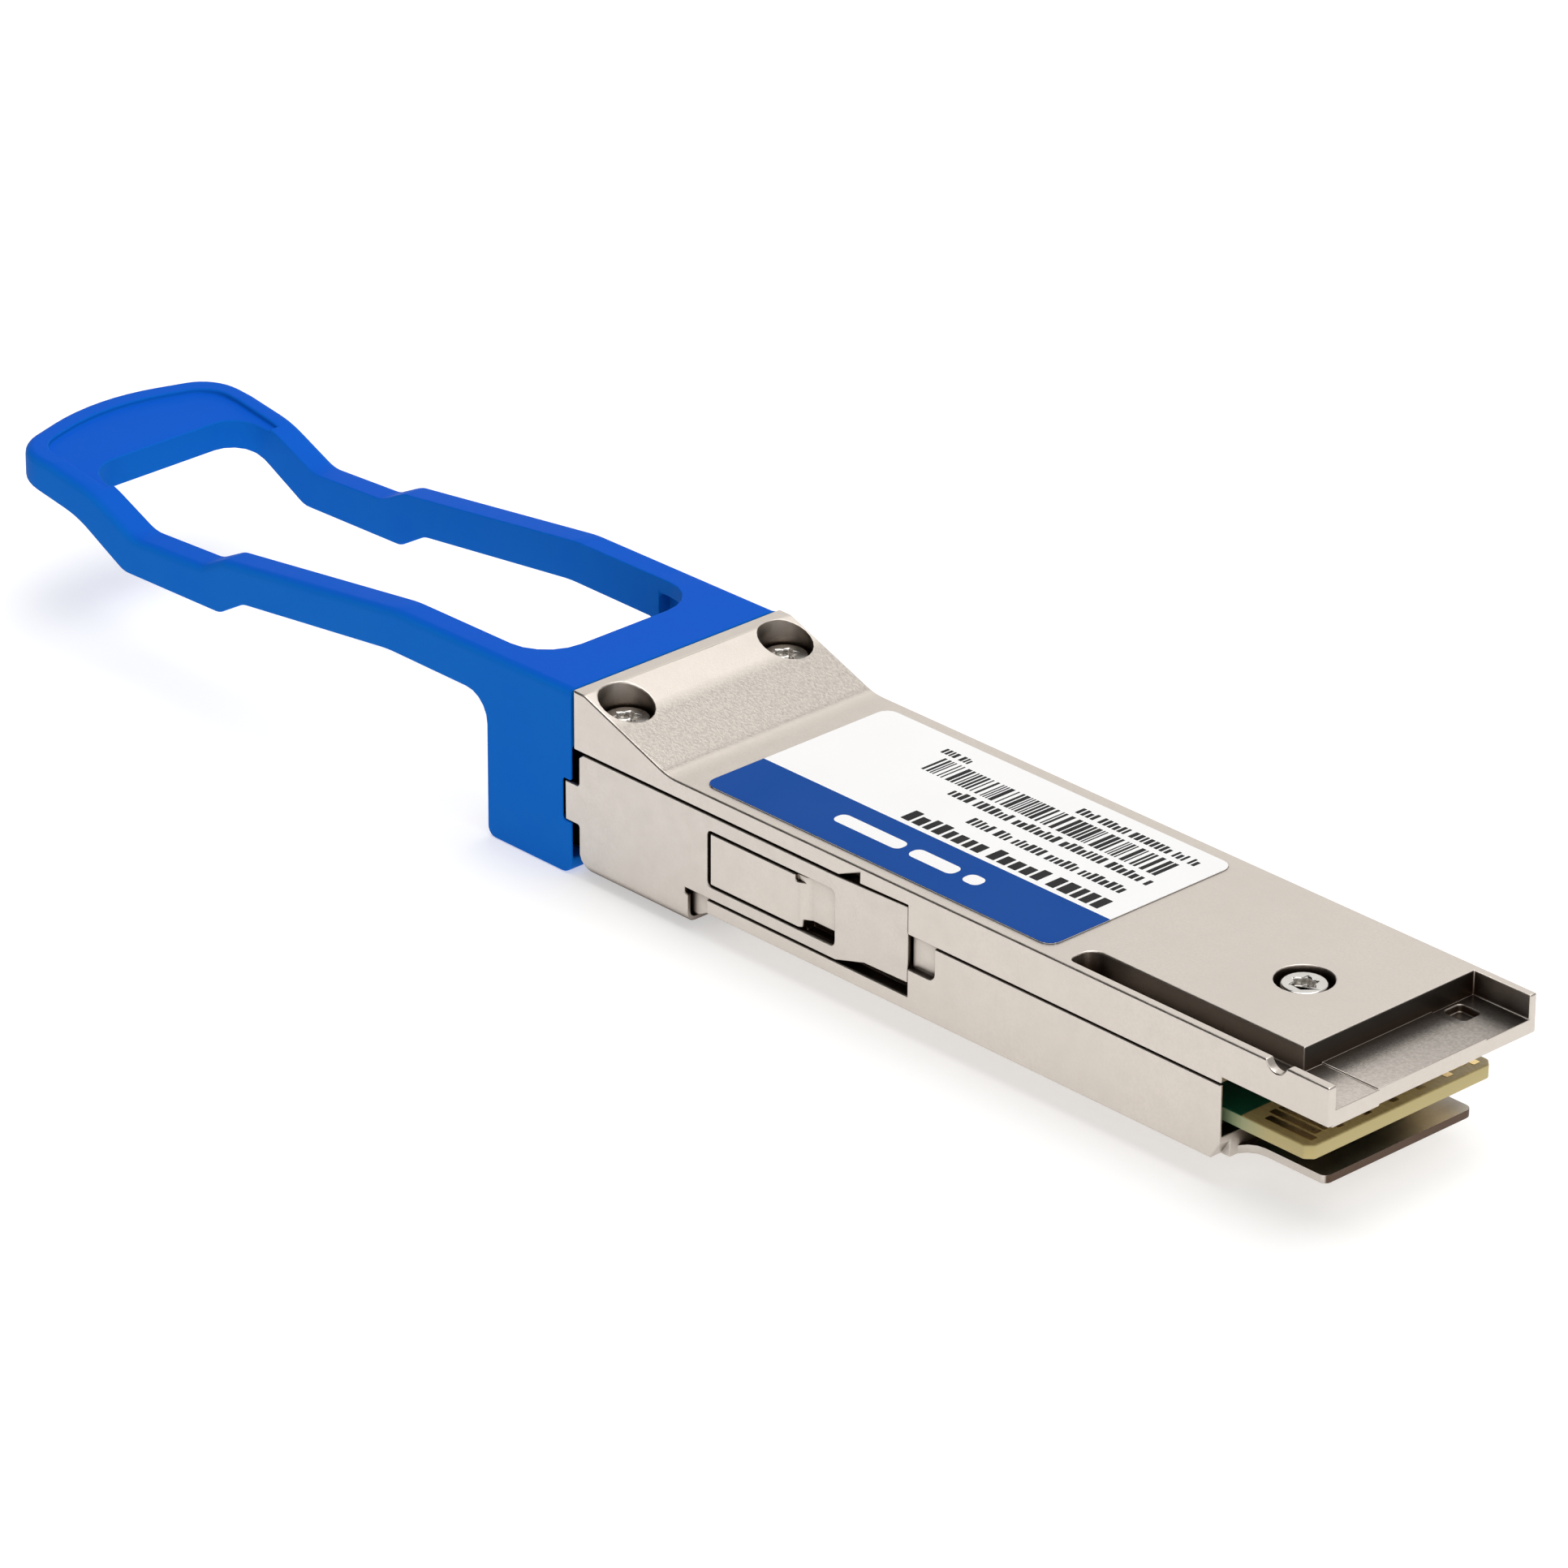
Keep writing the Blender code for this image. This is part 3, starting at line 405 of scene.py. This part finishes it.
def mapped(tree, value, from_span, to_span):
    made = tree.nodes.new("ShaderNodeMapRange")
    made.inputs["From Min"].default_value, made.inputs["From Max"].default_value = from_span
    made.inputs["To Min"].default_value, made.inputs["To Max"].default_value = to_span
    tree.links.new(value, made.inputs["Value"])
    return made.outputs["Result"]


def mixed(tree, factor, first, second):
    """A colour between two others."""
    made = tree.nodes.new("ShaderNodeMix")
    made.data_type = "RGBA"
    tree.links.new(factor, made.inputs["Factor"])
    supply(tree, made.inputs[6], first)
    supply(tree, made.inputs[7], second)
    return made.outputs[2]


def mixed_value(tree, factor, first, second):
    """A number between two others."""
    made = tree.nodes.new("ShaderNodeMix")
    made.data_type = "FLOAT"
    tree.links.new(factor, made.inputs[0])
    supply(tree, made.inputs[2], first)
    supply(tree, made.inputs[3], second)
    return made.outputs[0]


def part_of(tree, vector, axis):
    made = tree.nodes.new("ShaderNodeSeparateXYZ")
    tree.links.new(vector, made.inputs["Vector"])
    return made.outputs[axis]


def bump(tree, height, depth, strength=1.0, below=None):
    """A bump of `depth` millimetres, over another bump's normal if one is given."""
    made = tree.nodes.new("ShaderNodeBump")
    made.inputs["Strength"].default_value = strength
    made.inputs["Distance"].default_value = depth * MM
    tree.links.new(height, made.inputs["Height"])
    if below is not None:
        tree.links.new(below, made.inputs["Normal"])
    return made.outputs["Normal"]


def feed(made, **sockets):
    """Links values to the shader's sockets, whose names are given with underscores for spaces."""
    tree = made.node_tree
    shader = tree.nodes["Principled BSDF"]
    for name, value in sockets.items():
        tree.links.new(value, shader.inputs[name.replace("_", " ")])
    return made


def recess_shade_share(tree, distance, open_share=0.86, deep_share=0.5):
    """Share of painted shade: 0 on open faces and 1 deep inside slots, pockets and gaps within `distance`
    millimetres.
    """
    made = tree.nodes.new("ShaderNodeAmbientOcclusion")
    made.samples = 6
    made.inputs["Distance"].default_value = distance * MM
    return mapped(tree, made.outputs["AO"], (deep_share, open_share), (1.0, 0.0))


def tinted(colour, share):
    return tuple(value * share for value in colour)


def within(tree, value, low, high, edge=0.05):
    """1 where the value lies between two limits, with a short fade at each."""
    rising = mapped(tree, value, (low - edge, low + edge), (0.0, 1.0))
    falling = mapped(tree, value, (high - edge, high + edge), (1.0, 0.0))
    return all_of(tree, rising, falling)


def cast_regions(tree, at, colour, skin):
    """The sandy slope of the head, the glossier end recess and the end of the card-edge lip, all with painted
    shade.

    `skin` has the shade, roughness, height and painted recess shade share of the plain casting, and so has
    the result.
    """
    shade, rough, height, recess = skin
    along, across, up = (part_of(tree, at, axis) for axis in "XYZ")
    normal = tree.nodes.new("ShaderNodeNewGeometry").outputs["Normal"]
    normal_z = part_of(tree, normal, "Z")
    upward = mapped(tree, normal_z, (0.6, 0.8), (0.0, 1.0))
    forward = mapped(tree, part_of(tree, normal, "X"), (0.6, 0.8), (0.0, 1.0))
    sand = noise(tree, at, 4.6, 3.0, 0.6)

    # The slope is sandy from its foot up to SANDY_BACK_X, with painted shade that makes it a little darker
    # where it levels out
    slope = all_of(
        tree, within(tree, along, SANDY_BACK_X + SHIFT.x, SLOPE_FOOT_X + SHIFT.x, 0.5),
        within(tree, up, BODY_TOP + SHIFT.z + 0.15, FAR), upward)
    grains = mapped(tree, sand, (0.4, 0.62), (0.0, 1.0))
    level = mapped(tree, normal_z, (0.93, 0.98), (0.0, 1.0))
    sloping_skin = mixed(tree, grains, tinted(colour, 0.755), tinted(colour, 0.63))
    # Painted shade: darker where the slope faces straight up
    level_painted_shade = mixed(tree, grains, tinted(colour, 0.66), tinted(colour, 0.56))
    shade = mixed(tree, slope, shade, mixed(tree, level, sloping_skin, level_painted_shade))
    height = bump(tree, all_of(tree, sand, slope), 0.019, 1.0, height)

    # The end recess: painted shade darkens its floor towards the far side, and the block's face behind it is
    # painted nearly black as shade
    in_end = within(tree, up, END_FLOOR + SHIFT.z - 0.6, BODY_TOP + SHIFT.z - 0.04, 0.03)
    block_x = END_BLOCK + SHIFT.x
    floor = all_of(tree, in_end, within(tree, along, block_x, FAR), upward)
    block_face = all_of(tree, in_end, within(tree, along, block_x, block_x, 0.2), forward)
    painted_shade_mottle = mapped(tree, sand, (0.35, 0.65), (0.0, 0.25))
    painted_floor_shade = math_node(tree, "ADD", mapped(tree, across, (-8.0, 8.0), (0.0, 0.75)), painted_shade_mottle)
    shade = mixed(tree, floor, shade, mixed(tree, painted_floor_shade, colour, tinted(colour, 0.40)))
    # Painted near-black shade on the block's face
    shade = mixed(tree, mapped(tree, block_face, (0.0, 0.2), (0.0, 1.0)), shade, tinted(colour, 0.10))
    recess = all_of(tree, recess, mapped(tree, floor, (0.0, 1.0), (1.0, 0.4)))

    # The end of the card-edge lip is painted dark brown as a painted dark reflection
    lip_end_painted_shade = all_of(tree, forward, within(tree, along, LIP_ZONE_X + SHIFT.x, FAR),
                     within(tree, up, -5.0, LIP_ZONE_TOP + SHIFT.z))
    shade = mixed(tree, lip_end_painted_shade, shade, (0.105, 0.068, 0.049))
    glossier = math_node(tree, "MAXIMUM", floor, block_face)
    return shade, mixed_value(tree, glossier, rough, 0.27), height, recess


def nickel(name, colour, grain, grain_depth, roughness, cast=False):
    """Satin nickel plate with fine grain and painted brown shade in its recesses; castings also have regions
    of their own, some with painted shade.
    """
    made = new_surface(name, colour, roughness, 1.0)
    tree = made.node_tree
    at = millimetres(tree)
    clouds = mapped(tree, noise(tree, at, 0.16, 3.0, 0.5), (0.35, 0.7), (0.0, 1.0))
    speckles = mapped(tree, noise(tree, at, 5.5, 2.0, 0.6), (0.4, 0.62), (0.0, 1.0))
    shade = mixed(tree, clouds, colour, tinted(colour, 0.955))
    shade = mixed(tree, speckles, shade, tinted(colour, 0.95))
    rough = mapped(tree, noise(tree, at, 0.9, 3.0), (0.3, 0.7), (roughness - 0.04, roughness + 0.05))
    height = bump(tree, noise(tree, at, grain, 3.0, 0.6), grain_depth, 0.6)
    recess = recess_shade_share(tree, 2.0)
    if cast:
        shade, rough, height, recess = cast_regions(tree, at, colour, (shade, rough, height, recess))
    # Painted brown shade in slots, pockets and gaps
    shade = mixed(tree, recess, shade, (0.085, 0.056, 0.039))
    return feed(made, Base_Color=shade, Roughness=rough, Normal=height)


def plain(name, colour, roughness, metallic=0.0, specular=0.5, grain=6.0, depth=0.01, variation=0.9,
          stretch=(1.0, 1.0, 1.0)):
    """A finish with fine grain, a little colour variation and uneven gloss."""
    made = new_surface(name, colour, roughness, metallic, specular)
    tree = made.node_tree
    at = millimetres(tree, stretch)
    fine = noise(tree, at, grain, 3.0, 0.6)
    broad = noise(tree, at, grain / 12, 2.0)
    shade = mixed(tree, mapped(tree, broad, (0.3, 0.7), (0.0, 1.0)), colour, tinted(colour, variation))
    rough = mapped(tree, broad, (0.3, 0.7), (roughness - 0.03, roughness + 0.05))
    return feed(made, Base_Color=shade, Roughness=rough, Normal=bump(tree, fine, depth, 0.5))


def tab_plastic():
    """Moulded polypropylene with a faint moulding grain; painted shading makes its upright faces slightly
    greener than its top faces.
    """
    face_up = (0.0030, 0.100, 0.60)
    upright = (0.0040, 0.145, 0.59)
    made = new_surface("tab_plastic", face_up, 0.6, 0.0, 0.025)
    tree = made.node_tree
    at = millimetres(tree)
    facing = tree.nodes.new("ShaderNodeNewGeometry")
    upward = mapped(tree, part_of(tree, facing.outputs["Normal"], "Z"), (0.55, 0.99), (0.0, 1.0))
    # Painted shading: upright faces get a greener colour than faces that point up
    shade = mixed(tree, upward, upright, face_up)
    cloud = noise(tree, at, 0.15, 3.0, 0.6)
    shade = mixed(tree, mapped(tree, cloud, (0.4, 0.75), (0.0, 0.35)), shade, (0.0042, 0.118, 0.61))
    rough = mapped(tree, cloud, (0.3, 0.7), (0.5, 0.6))
    height = bump(tree, noise(tree, at, 7.0, 3.0), 0.006, 0.5)
    return feed(made, Base_Color=shade, Roughness=rough, Normal=height)


def board_laminate():
    """Green solder mask over the board, and bare glass-epoxy laminate with its weave at the card edge."""
    mask = (0.006, 0.075, 0.035)
    bare = (0.45, 0.35, 0.14)
    made = new_surface("board_laminate", mask, 0.35)
    tree = made.node_tree
    at = millimetres(tree)
    x = part_of(tree, at, "X")
    mask_x = MASK_END + SHIFT.x
    at_edge = mapped(tree, x, (mask_x - 0.05, mask_x + 0.05), (0.0, 1.0))
    normal_z = part_of(tree, tree.nodes.new("ShaderNodeNewGeometry").outputs["Normal"], "Z")
    side = mapped(tree, math_node(tree, "ABSOLUTE", normal_z, 0.0), (0.3, 0.6), (1.0, 0.0))
    weave = noise(tree, millimetres(tree, (0.6, 3.0, 1.0)), 3.0, 2.0)
    bare_shade = mixed(tree, mapped(tree, weave, (0.35, 0.65), (0.0, 1.0)), bare, tinted(bare, 0.8))
    towards_edge = mapped(tree, x, (mask_x - 1.0, mask_x + 2.5), (0.0, 1.0))
    side_shade = mixed(tree, towards_edge, (0.26, 0.33, 0.19), (0.50, 0.41, 0.17))
    shade = mixed(tree, at_edge, mask, bare_shade)
    downward = mapped(tree, normal_z, (-0.8, -0.6), (1.0, 0.0))
    shade = mixed(tree, downward, shade, mask)
    shade = mixed(tree, side, shade, side_shade)
    return feed(made, Base_Color=shade, Normal=bump(tree, weave, 0.008, 0.5))


surfaces = {
    "nickel_zinc": nickel("cast_nickel", (0.66, 0.605, 0.55), 9.0, 0.012, 0.34, cast=True),
    "nickel_sheet": nickel("sheet_nickel", (0.665, 0.615, 0.56), 8.0, 0.012, 0.4),
    "screw_steel": plain("bright_steel", (0.66, 0.64, 0.61), 0.2, 1.0, grain=9.0, depth=0.006),
    "blue_plastic": tab_plastic(),
    "label_film": plain(
        "label_white", (0.97, 0.97, 0.97), 0.5, specular=0.2, grain=2.0, depth=0.002, variation=0.98),
    "solder_mask": board_laminate(),
    "chip_black": plain("chip_epoxy", (0.02, 0.02, 0.022), 0.5, grain=12.0, depth=0.01),
    "ferrite": plain("inductor_ferrite", (0.09, 0.09, 0.1), 0.6, grain=10.0, depth=0.02),
    "crystal_can": plain("crystal_can", (0.7, 0.7, 0.68), 0.25, 1.0, stretch=(0.2, 2.0, 1.0)),
    "capacitor_body": plain("capacitor_ceramic", (0.36, 0.24, 0.15), 0.5, grain=12.0),
    "gold": plain("gold_plate", (0.86, 0.66, 0.31), 0.25, 1.0, grain=4.0, depth=0.006),
    "stainless": plain("turned_stainless", (0.6, 0.6, 0.59), 0.22, 1.0, stretch=(6.0, 0.3, 0.3)),
    "ferrule_ceramic": plain("zirconia", (0.88, 0.87, 0.82), 0.25, grain=3.0, depth=0.003, variation=0.97),
    "flex_film": plain("polyimide_film", (0.5, 0.21, 0.03), 0.3, grain=2.0, depth=0.01),
    "holder_plastic": plain("holder_plastic", (0.03, 0.03, 0.03), 0.45, grain=8.0),
    "pad_silicone": plain("pad_silicone", (0.3, 0.38, 0.46), 0.8, grain=9.0, depth=0.02),
    "gasket_rubber": plain("gasket_rubber", (0.1, 0.095, 0.09), 0.85, grain=9.0, depth=0.03),
    "spring_steel": plain("spring_steel", (0.55, 0.55, 0.54), 0.22, 1.0, stretch=(4.0, 1.0, 1.0)),
}
label_blue = plain("label_blue", (0.0060, 0.072, 0.34), 0.55, specular=0.05, grain=2.0, depth=0.002,
                   variation=0.96)
label_ink = plain("label_ink", (0.012, 0.012, 0.013), 0.6, specular=0.2, grain=6.0, depth=0.002)
slot_of_node = {row["node"]: row["material_slot"] for row in frame["record"]["subparts"]}


def dress(piece, surface):
    piece.data.materials.clear()
    piece.data.materials.append(surface)
    for face in piece.data.polygons:
        face.material_index = 0


def stands_for(piece, node, body):
    """A detailed piece takes a node's finish, rides on its body and replaces it."""
    dress(piece, surfaces[slot_of_node[node]])
    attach(piece, body)
    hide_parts(node)
    return piece


# ---------------------------------------------------------------- castings


def cover_edge(middle, edge):
    """Widest along the outer long edges, then at the connector end, and least elsewhere."""
    outside = abs(abs(middle.y) - HALF_WIDTH) < 0.01
    upper = middle.z > BODY_TOP - 0.01
    if outside and upper:
        return COVER_OUTER
    if middle.x > -0.01 and upper:
        return COVER_END
    return CASTING_OTHER


def detailed_cover():
    cover = copy_of("top_cover", "cover_casting")
    return stands_for(round_edges(cover, COVER_OUTER, 4, width_at=cover_edge), "top_cover", "module")


def base_edge(middle, edge):
    if abs(middle.z) < 0.01 and abs(abs(middle.y) - HALF_WIDTH) < 0.01:
        return BASE_OUTER
    return CASTING_OTHER


def detailed_base():
    base = copy_of("base_housing", "base_casting")
    for side in (-1, 1):
        nick = box_outline((-46.2, -44.6), (5.45, 6.1), 0.2)
        cut(base, prism("boss_nick", nick, "y", side * 8.9, side * 9.6))
    return stands_for(round_edges(base, BASE_OUTER, 3, width_at=base_edge), "base_housing", "module")


# ---------------------------------------------------------------- release parts


def detailed_slider():
    slider = copy_of("release_slider", "slider_sheet")
    return stands_for(round_edges(slider, SLIDER_ROUNDING, 3), "release_slider", "release")


def tab_edge(middle, edge):
    """The outer edges are rounded most, the window's less, and those at the collar's back least."""
    if abs(middle.y) > HALF_WIDTH - 0.05 or middle.x < GRIP_X:
        upper = sum(face.normal.z for face in edge.link_faces) > 0.5
        return TAB_UPPER if upper else TAB_LOWER
    if abs(middle.y) <= TAB_ARM_INNER + 0.05 and middle.x < TAB_WINDOW_FRONT:
        return TAB_WINDOW
    if middle.x > COLLAR_BACK_ZONE:
        return TAB_COLLAR_BACK
    return TAB_OTHER


def detailed_tab():
    tab = copy_of("pull_tab", "pull_tab_moulding")
    return stands_for(round_edges(tab, TAB_WIDEST, 4, sharpness=32, width_at=tab_edge), "pull_tab", "release")


def detailed_springs():
    for word in ("near", "far"):
        node = f"return_spring_{word}"
        spring = copy_of(node, f"spring_coil_{word}")
        spring.data.shade_smooth()
        stands_for(spring, node, "module")
        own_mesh(spring)


# ---------------------------------------------------------------- screws, label and card edge


def screw_edge(middle, edge):
    """The rim of the head is well rounded, the six-lobe recess only a little."""
    at_rim = middle.z > SCREW_HEAD_ZONE and edge.calc_face_angle() > 1.2
    return SCREW_RIM if at_rim else SCREW_RECESS


def detailed_screws():
    for node in ("head_screw_near", "head_screw_far", "rear_screw"):
        screw = copy_of(node, f"{node}_detail")
        stands_for(round_edges(screw, SCREW_RIM, 3, width_at=screw_edge), node, "module")


def greeked_line(shape, x_span, y_span, chance, bold=1.0):
    """A row of little blocks in word-like groups, which stands for a line of text without any lettering."""
    low, high = y_span
    height = high - low
    x = x_span[0]
    while x < x_span[1] - 0.3 * height:
        for _ in range(chance.randint(3, 8)):
            width = bold * height * chance.choice((0.25, 0.34, 0.34, 0.42))
            if x + width > x_span[1]:
                break
            top = high - height * chance.choice((0.0, 0.0, 0.22))
            block = box_outline((x, x + width), (low, top), 0.05)
            add_prism(shape, block, "z", LABEL_TOP, LABEL_TOP + INK_HEIGHT)
            x += width + 0.16 * height
        x += 0.3 * height


def bar_stripes(shape, x_span, y_span, chance):
    """Stripes of seeded random widths, so that they code nothing."""
    x = x_span[0]
    while x < x_span[1] - 0.3:
        width = chance.choice((0.12, 0.12, 0.22, 0.22, 0.35))
        add_prism(shape, box_outline((x, x + width), y_span), "z", LABEL_TOP, LABEL_TOP + INK_HEIGHT)
        x += width + chance.choice((0.12, 0.12, 0.2, 0.3))


def detailed_label():
    film = copy_of("label", "label_film")
    stands_for(round_edges(film, LABEL_ROUNDING, 2), "label", "module")
    band = prism("label_band", rounded([
        (LABEL_X[0], LABEL_FRONT_Y, LABEL_CORNER), (LABEL_X[1], LABEL_FRONT_Y, LABEL_CORNER),
        (LABEL_X[1], BAND_TOP_Y), (LABEL_X[0], BAND_TOP_Y),
    ]), "z", LABEL_TOP - 0.03, LABEL_TOP + INK_HEIGHT / 2)
    dress(band, label_blue)
    ink = bmesh.new()
    chance = random.Random(7)
    for x_span, y_span in TEXT_LINES:
        greeked_line(ink, x_span, y_span, chance)
    greeked_line(ink, *BOLD_LINE, chance, bold=1.5)
    bar_stripes(ink, *BAR_CODE, chance)
    print_piece = linked("label_print", ink)
    dress(print_piece, label_ink)
    mark = bmesh.new()
    for x_span in MARK_BARS_X:
        bar = box_outline(x_span, MARK_BARS_Y, 0.5)
        add_prism(mark, bar, "z", LABEL_TOP, LABEL_TOP + 1.5 * INK_HEIGHT)
    mark_piece = linked("label_mark", mark)
    dress(mark_piece, surfaces["label_film"])
    for piece in (band, print_piece, mark_piece):
        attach(piece, "module")


def board_edge(middle, edge):
    return BOARD_EDGE if middle.x > BOARD_EDGE_ZONE else BOARD_INSIDE


def detailed_board():
    """The board, with gold fingers on both its faces; every third finger reaches further out."""
    shape = bmesh.new()
    for low, high in ((BOARD_TOP - 0.01, BOARD_TOP + 0.03), (BOARD_BOTTOM - 0.03, BOARD_BOTTOM + 0.01)):
        for number in range(FINGERS_PER_SIDE):
            y = (number - (FINGERS_PER_SIDE - 1) / 2) * FINGER_PITCH
            front = BOARD_END - FINGER_SETBACK["long" if number % 3 == 0 else "short"]
            outline = box_outline(
                (front - FINGER_LENGTH, front), (y - FINGER_WIDTH / 2, y + FINGER_WIDTH / 2), 0.08)
            add_prism(shape, outline, "z", low, high)
    fingers = linked("gold_fingers", shape)
    dress(fingers, surfaces["gold"])
    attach(fingers, "module")
    board = copy_of("circuit_board", "board_laminate")
    stands_for(round_edges(board, BOARD_EDGE, 2, width_at=board_edge), "circuit_board", "module")


# ---------------------------------------------------------------- studio


def photo_camera():
    """Camera at the fitted viewpoint, aimed at a point on the body and then moved across its own view."""
    azimuth = math.radians(46.486)
    elevation = math.radians(25.92)
    roll = math.radians(0.301)
    distance = 553.2
    left_move = 11.61
    up_move = 6.643
    back = Vector((
        math.sin(azimuth) * math.cos(elevation),
        -math.cos(azimuth) * math.cos(elevation),
        math.sin(elevation)))
    level = Vector((math.cos(azimuth), math.sin(azimuth), 0.0))
    upright = back.cross(level)
    right = level * math.cos(roll) + upright * math.sin(roll)
    up = upright * math.cos(roll) - level * math.sin(roll)
    target = place(-40.0, 0.0, 4.0)
    camera = bpy.data.objects.new("camera", bpy.data.cameras.new("camera"))
    bpy.context.scene.collection.objects.link(camera)
    camera.data.sensor_width = 36.0
    camera.data.lens = 200.5
    camera.data.clip_start = 0.01
    camera.data.clip_end = 20.0
    turn = Matrix((right, up, back)).transposed().to_4x4()
    turn.translation = target + (back * distance - right * left_move + up * up_move) * MM
    camera.matrix_world = turn
    bpy.context.scene.camera = camera


def area_light(name, location, aim, size, power):
    light = bpy.data.lights.new(name, "AREA")
    light.shape = "DISK"
    light.size = size
    light.energy = power
    lamp = bpy.data.objects.new(name, light)
    bpy.context.scene.collection.objects.link(lamp)
    lamp.location = location
    lamp.rotation_mode = "QUATERNION"
    lamp.rotation_quaternion = (Vector(aim) - Vector(location)).to_track_quat("-Z", "Y")


def white_floor():
    shape = bmesh.new()
    bmesh.ops.create_grid(shape, x_segments=1, y_segments=1, size=4.0)
    floor = linked("floor", shape)
    floor.location.z = -0.00005
    paper = new_surface("paper", (0.70, 0.70, 0.70), 0.9, 0.0, 0.1)
    glow = paper.node_tree.nodes["Principled BSDF"]
    glow.inputs["Emission Color"].default_value = (1.0, 0.99, 0.98, 1.0)
    glow.inputs["Emission Strength"].default_value = 0.48
    tree = paper.node_tree
    feed(paper, Normal=bump(tree, noise(tree, millimetres(tree), 1.5), 0.01, 0.2))
    dress(floor, paper)


def studio():
    """A white tent with two flags, which draw the dark lines in the rounded edges, and a light overhead.

    Each flag has its direction, the cosines of the angles to it at which the tent starts to darken and is
    darkest, and the least share of light.
    """
    white_floor()
    world = bpy.data.worlds.new("tent")
    bpy.context.scene.world = world
    world.use_nodes = True
    tree = world.node_tree
    direction = tree.nodes.new("ShaderNodeTexCoord").outputs["Generated"]
    shares = []
    for flag, start, full, least in (
            (Vector((-0.62, -0.46, 0.60)), 0.46, 0.74, 0.03), (Vector((0.62, 0.66, 0.40)), 0.66, 0.9, 0.42)):
        towards = tree.nodes.new("ShaderNodeVectorMath")
        towards.operation = "DOT_PRODUCT"
        towards.inputs[1].default_value = flag.normalized()
        tree.links.new(direction, towards.inputs[0])
        shares.append(mapped(tree, towards.outputs["Value"], (start, full), (1.0, least)))
    background = tree.nodes["Background"]
    background.inputs["Color"].default_value = (1.0, 0.985, 0.965, 1.0)
    tree.links.new(all_of(tree, *shares, 1.05), background.inputs["Strength"])
    area_light("top_light", (0.0, 0.1, 0.9), (0.0, 0.0, 0.0), 0.9, 4.6)
    settings = bpy.context.scene.view_settings
    settings.view_transform = "Standard"
    settings.look = "None"


for node, piece in frame["nodes"].items():
    dress(piece, surfaces[slot_of_node[node]])

detailed_cover()
detailed_base()
detailed_slider()
detailed_tab()
detailed_springs()
detailed_screws()
detailed_label()
detailed_board()
photo_camera()
studio()
